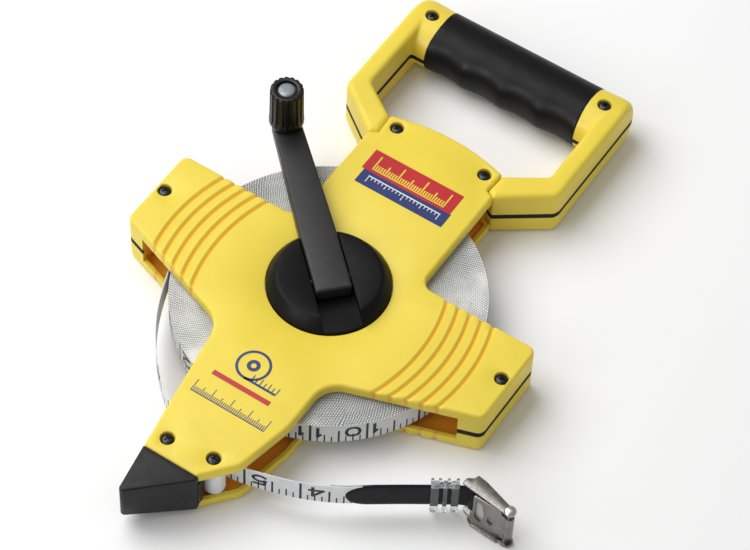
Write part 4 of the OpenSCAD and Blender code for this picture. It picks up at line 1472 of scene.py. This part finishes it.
def counter_clockwise(outline):
    """The corners in the order that outline_rings needs."""
    twice_area = sum(a[0] * b[1] - b[0] * a[1] for a, b in zip(outline[-1:] + outline[:-1], outline))
    return outline[::-1] if twice_area < 0 else outline


def join(pieces, name):
    """One object from several, keeping their shading."""
    bm = bmesh.new()
    for piece in pieces:
        bm.from_mesh(piece.data)
        bpy.data.objects.remove(piece)
    mesh = bpy.data.meshes.new(name)
    bm.to_mesh(mesh)
    bm.free()
    whole = bpy.data.objects.new(name, mesh)
    bpy.context.scene.collection.objects.link(whole)
    shade(whole, 40.0)
    return whole


finish_piece(claw(), hook_nickel, "claw", ["hook_claw"])


def leaf():
    """Thin plate behind the claw that shows through its slots."""
    solid = Solid()
    near_y = CLAW_Y + PLATE_T + 0.02
    corners = [(113.8, 3.6, 0.8), (124.6, 3.6, 0.8), (124.6, 21.6, 0.8), (113.8, 21.6, 0.8)]
    ring = outline_rings(corners, [0.0], 1.5, 6)[0]
    solid.loft([at_y(ring, y) for y in (near_y, near_y + 0.3)])
    return solid.object("hook_leaf", 40.0)


finish_piece(leaf(), leaf_steel, "claw")


def hook_rivet():
    """Hinge pin with a domed head on the upper flange."""
    solid = Solid()
    solid.lathe([(0.0, 26.0), (1.2, 25.95), (2.1, 25.75), (2.65, 25.4), (2.8, 25.0), (2.1, 25.0), (1.1, 24.9),
                 (1.1, 1.3), (1.1, 0.1), (0.0, 0.1)], HINGE_PIN, 40)
    return solid.object("hook_hinge_pin", 40.0)


finish_piece(hook_rivet(), pin_nickel, "hook", ["hook_pin"])

path = [(p.x * MM, p.y * MM, TAPE_MID * MM) for p in end_line.points]
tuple(path[0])


# ---------------------------------------------------------------- tip of the body

TIP_PLAN = ((-13.2, -143.8, 1.8), (11.6, -119.7, 1.5), (11.5, -117.6, 0.3), (-17.6, -117.6, 0.4))
TIP_TOP = 26.7


def tip_low(y):
    """Height of the tip's underside, which rises towards the point."""
    return 2.5 + (-117.6 - y) * 0.166


def tip():
    """Wedge with a flat top and a rising underside, and the tongue the frame halves hold."""
    solid = Solid()
    levels = [(0.7, "low", 0.0), (0.2, "low", 0.2), (0.0, "low", 0.7), (0.0, "top", -0.9),
              (0.1, "top", -0.45), (0.38, "top", -0.12), (0.8, "top", 0.0)]
    rings = outline_rings(TIP_PLAN, [inset for inset, _, _ in levels], 1.2, 10)
    solid.loft([
        [(x, y, (tip_low(y) if side == "low" else TIP_TOP) + lift) for x, y in ring]
        for ring, (_, side, lift) in zip(rings, levels)
    ])
    wedge = solid.object("tip_wedge", 35.0)
    tongue = Solid()
    plan = ((-15.6, -118.4, 0.2), (11.9, -118.4, 0.2), (11.9, -115.2, 1.0), (7.0, -112.6, 2.0),
            (1.0, -103.4, 2.0), (-17.2, -103.4, 1.5))
    rounded_slab(tongue, plan, LIP_H + 0.1, FRAME_T - LIP_H - 0.1, 0.5, 0.5, 1.2, 8, 3)
    tongue = tongue.object("tongue", 35.0)
    for at, r in ((TIP_SCREW, 4.1), (ROLLER_AT, 5.6)):
        post = Solid()
        post.lathe([(0.0, 0.0), (r, 0.0), (r, FRAME_T), (0.0, FRAME_T)], at)
        cut(tongue, post.object("post"))
    return join([wedge, tongue], "mouth_wedge")


finish_piece(tip(), tip_black, "frame", ["mouth_tip"])


# ---------------------------------------------------------------- sticker and printing

print_red = moulded("print_red", (0.52, 0.018, 0.022), 0.34)
print_navy = moulded("print_navy", (0.022, 0.035, 0.16), 0.34)
print_yellow = moulded("print_yellow", (0.80, 0.60, 0.05), 0.4)
print_white = moulded("print_white", (0.80, 0.80, 0.78), 0.4)
FACE = FRAME_T
INK_LOW = FACE - 0.02
INK_HIGH = FACE + 0.05


def mark(solid, x0, x1, y0, y1, z0, z1):
    """A flat printed rectangle with a little thickness."""
    corners = [(x, y, 0.15) for x, y in ((x0, y0), (x1, y0), (x1, y1), (x0, y1))]
    rounded_slab(solid, corners, z0, z1, 0.005, 0.01, 6.0, 3, 1)


def printed(name, material, marks, z0, z1, replaced=()):
    """One printed colour, from marks of (x0, x1, y0, y1)."""
    solid = Solid()
    for x0, x1, y0, y1 in marks:
        mark(solid, x0, x1, y0, y1, z0, z1)
    finish_piece(solid.object(name, 30.0), material, "frame", replaced)


def scale_marks(x0, x1, base, count, lengths, width, up=1.0):
    """Graduations on a line: each fifth one is longer and each tenth longest."""
    marks = []
    for k in range(count + 1):
        x = x0 + (x1 - x0) * k / count
        tall = lengths[2] if k % 10 == 0 else lengths[1] if k % 5 == 0 else lengths[0]
        y0, y1 = sorted((base, base + up * tall))
        marks.append((x - width / 2, x + width / 2, y0, y1))
    return marks


printed("sticker_upper_band", print_red, [(-24.9, 23.7, 63.9, 76.5)], FACE, FACE + 0.12, ["front_label"])
printed("sticker_lower_band", print_navy, [(-23.4, 24.3, 55.4, 64.2)], FACE, FACE + 0.10)
printed("sticker_upper_marks", print_yellow,
        scale_marks(-20.0, 18.8, 66.0, 30, (3.0, 5.2, 8.2), 0.75) + [(-20.4, 19.2, 65.5, 66.2)],
        FACE + 0.11, FACE + 0.15)
printed("sticker_lower_marks", print_white,
        [(-19.4, 20.2, 61.2, 61.8)] + scale_marks(-19.0, 19.8, 61.3, 20, (1.6, 2.6, 3.6), 0.4, -1.0),
        FACE + 0.09, FACE + 0.13)


def reel_sign():
    """Generic sign of a reel with its tape run out to one side."""
    solid = Solid()
    for outer, inner in ((8.2, 6.9), (3.1, 1.3)):
        solid.lathe([(inner, INK_LOW), (outer, INK_LOW), (outer, INK_HIGH), (inner, INK_HIGH),
                     (inner, INK_LOW)], (-2.0, -56.5), 72)
    mark(solid, -2.0, 14.8, -64.7, -63.5, INK_LOW, INK_HIGH)
    for k in range(7):
        x = 1.6 + 2.2 * k
        mark(solid, x - 0.25, x + 0.25, -63.6, -61.2 if k % 2 else -60.2, INK_LOW, INK_HIGH)
    return solid.object("reel_sign", 30.0)


finish_piece(reel_sign(), print_navy, "frame")
printed("leg_red_bar", print_red, [(-15.0, 15.4, -70.6, -68.0)], INK_LOW, INK_HIGH)
printed("leg_scale", print_navy,
        [(-17.8, 21.4, -82.8, -82.3)] + scale_marks(-17.6, 21.2, -82.5, 40, (2.6, 4.2, 6.4), 0.42),
        INK_LOW, INK_HIGH)


# ---------------------------------------------------------------- floor and light

def add_stage():
    """A wide, flat, pale floor just under the part. Its lengths are metres."""
    mesh = bpy.data.meshes.new("floor")
    half = 6.0
    low = -0.0004
    mesh.from_pydata([(-half, -half, low), (half, -half, low), (half, half, low), (-half, half, low)],
                     [], [(0, 1, 2, 3)])
    floor = bpy.data.objects.new("floor", mesh)
    bpy.context.scene.collection.objects.link(floor)
    material = Mat("floor_paper", (0.86, 0.86, 0.86), 0.75, specular=0.1)
    material.base(material.ramp(material.noise(3.0), [(0.3, (0.955,)), (0.7, (0.965,))]))
    paint(floor, material)


def add_light(name, place, target, size, power, glossy_only=False):
    """A square lamp at a place, turned to a target, in metres and watts."""
    data = bpy.data.lights.new(name, "AREA")
    data.shape = "SQUARE"
    data.size = size
    data.energy = power
    light = bpy.data.objects.new(name, data)
    light.location = place
    light.rotation_euler = (Vector(target) - Vector(place)).to_track_quat("-Z", "Y").to_euler()
    light.visible_diffuse = not glossy_only
    bpy.context.scene.collection.objects.link(light)


def add_world(strength):
    world = bpy.data.worlds.new("studio")
    bpy.context.scene.world = world
    world.use_nodes = True
    background = world.node_tree.nodes["Background"]
    background.inputs["Color"].default_value = (1.0, 1.0, 1.0, 1.0)
    background.inputs["Strength"].default_value = strength


add_stage()
bpy.context.scene.view_settings.view_transform = "Standard"
add_world(0.34)
add_light("key", (-0.85, 0.05, 1.3), (0.0, 0.03, 0.0), 1.4, 22.5)
add_light("fill", (-0.5, -1.15, 0.95), (0.0, -0.1, 0.0), 0.8, 3.5)
add_light("front", (-0.4, -1.1, 0.75), (0.0, 0.0, 0.0), 0.45, 8.0, glossy_only=True)
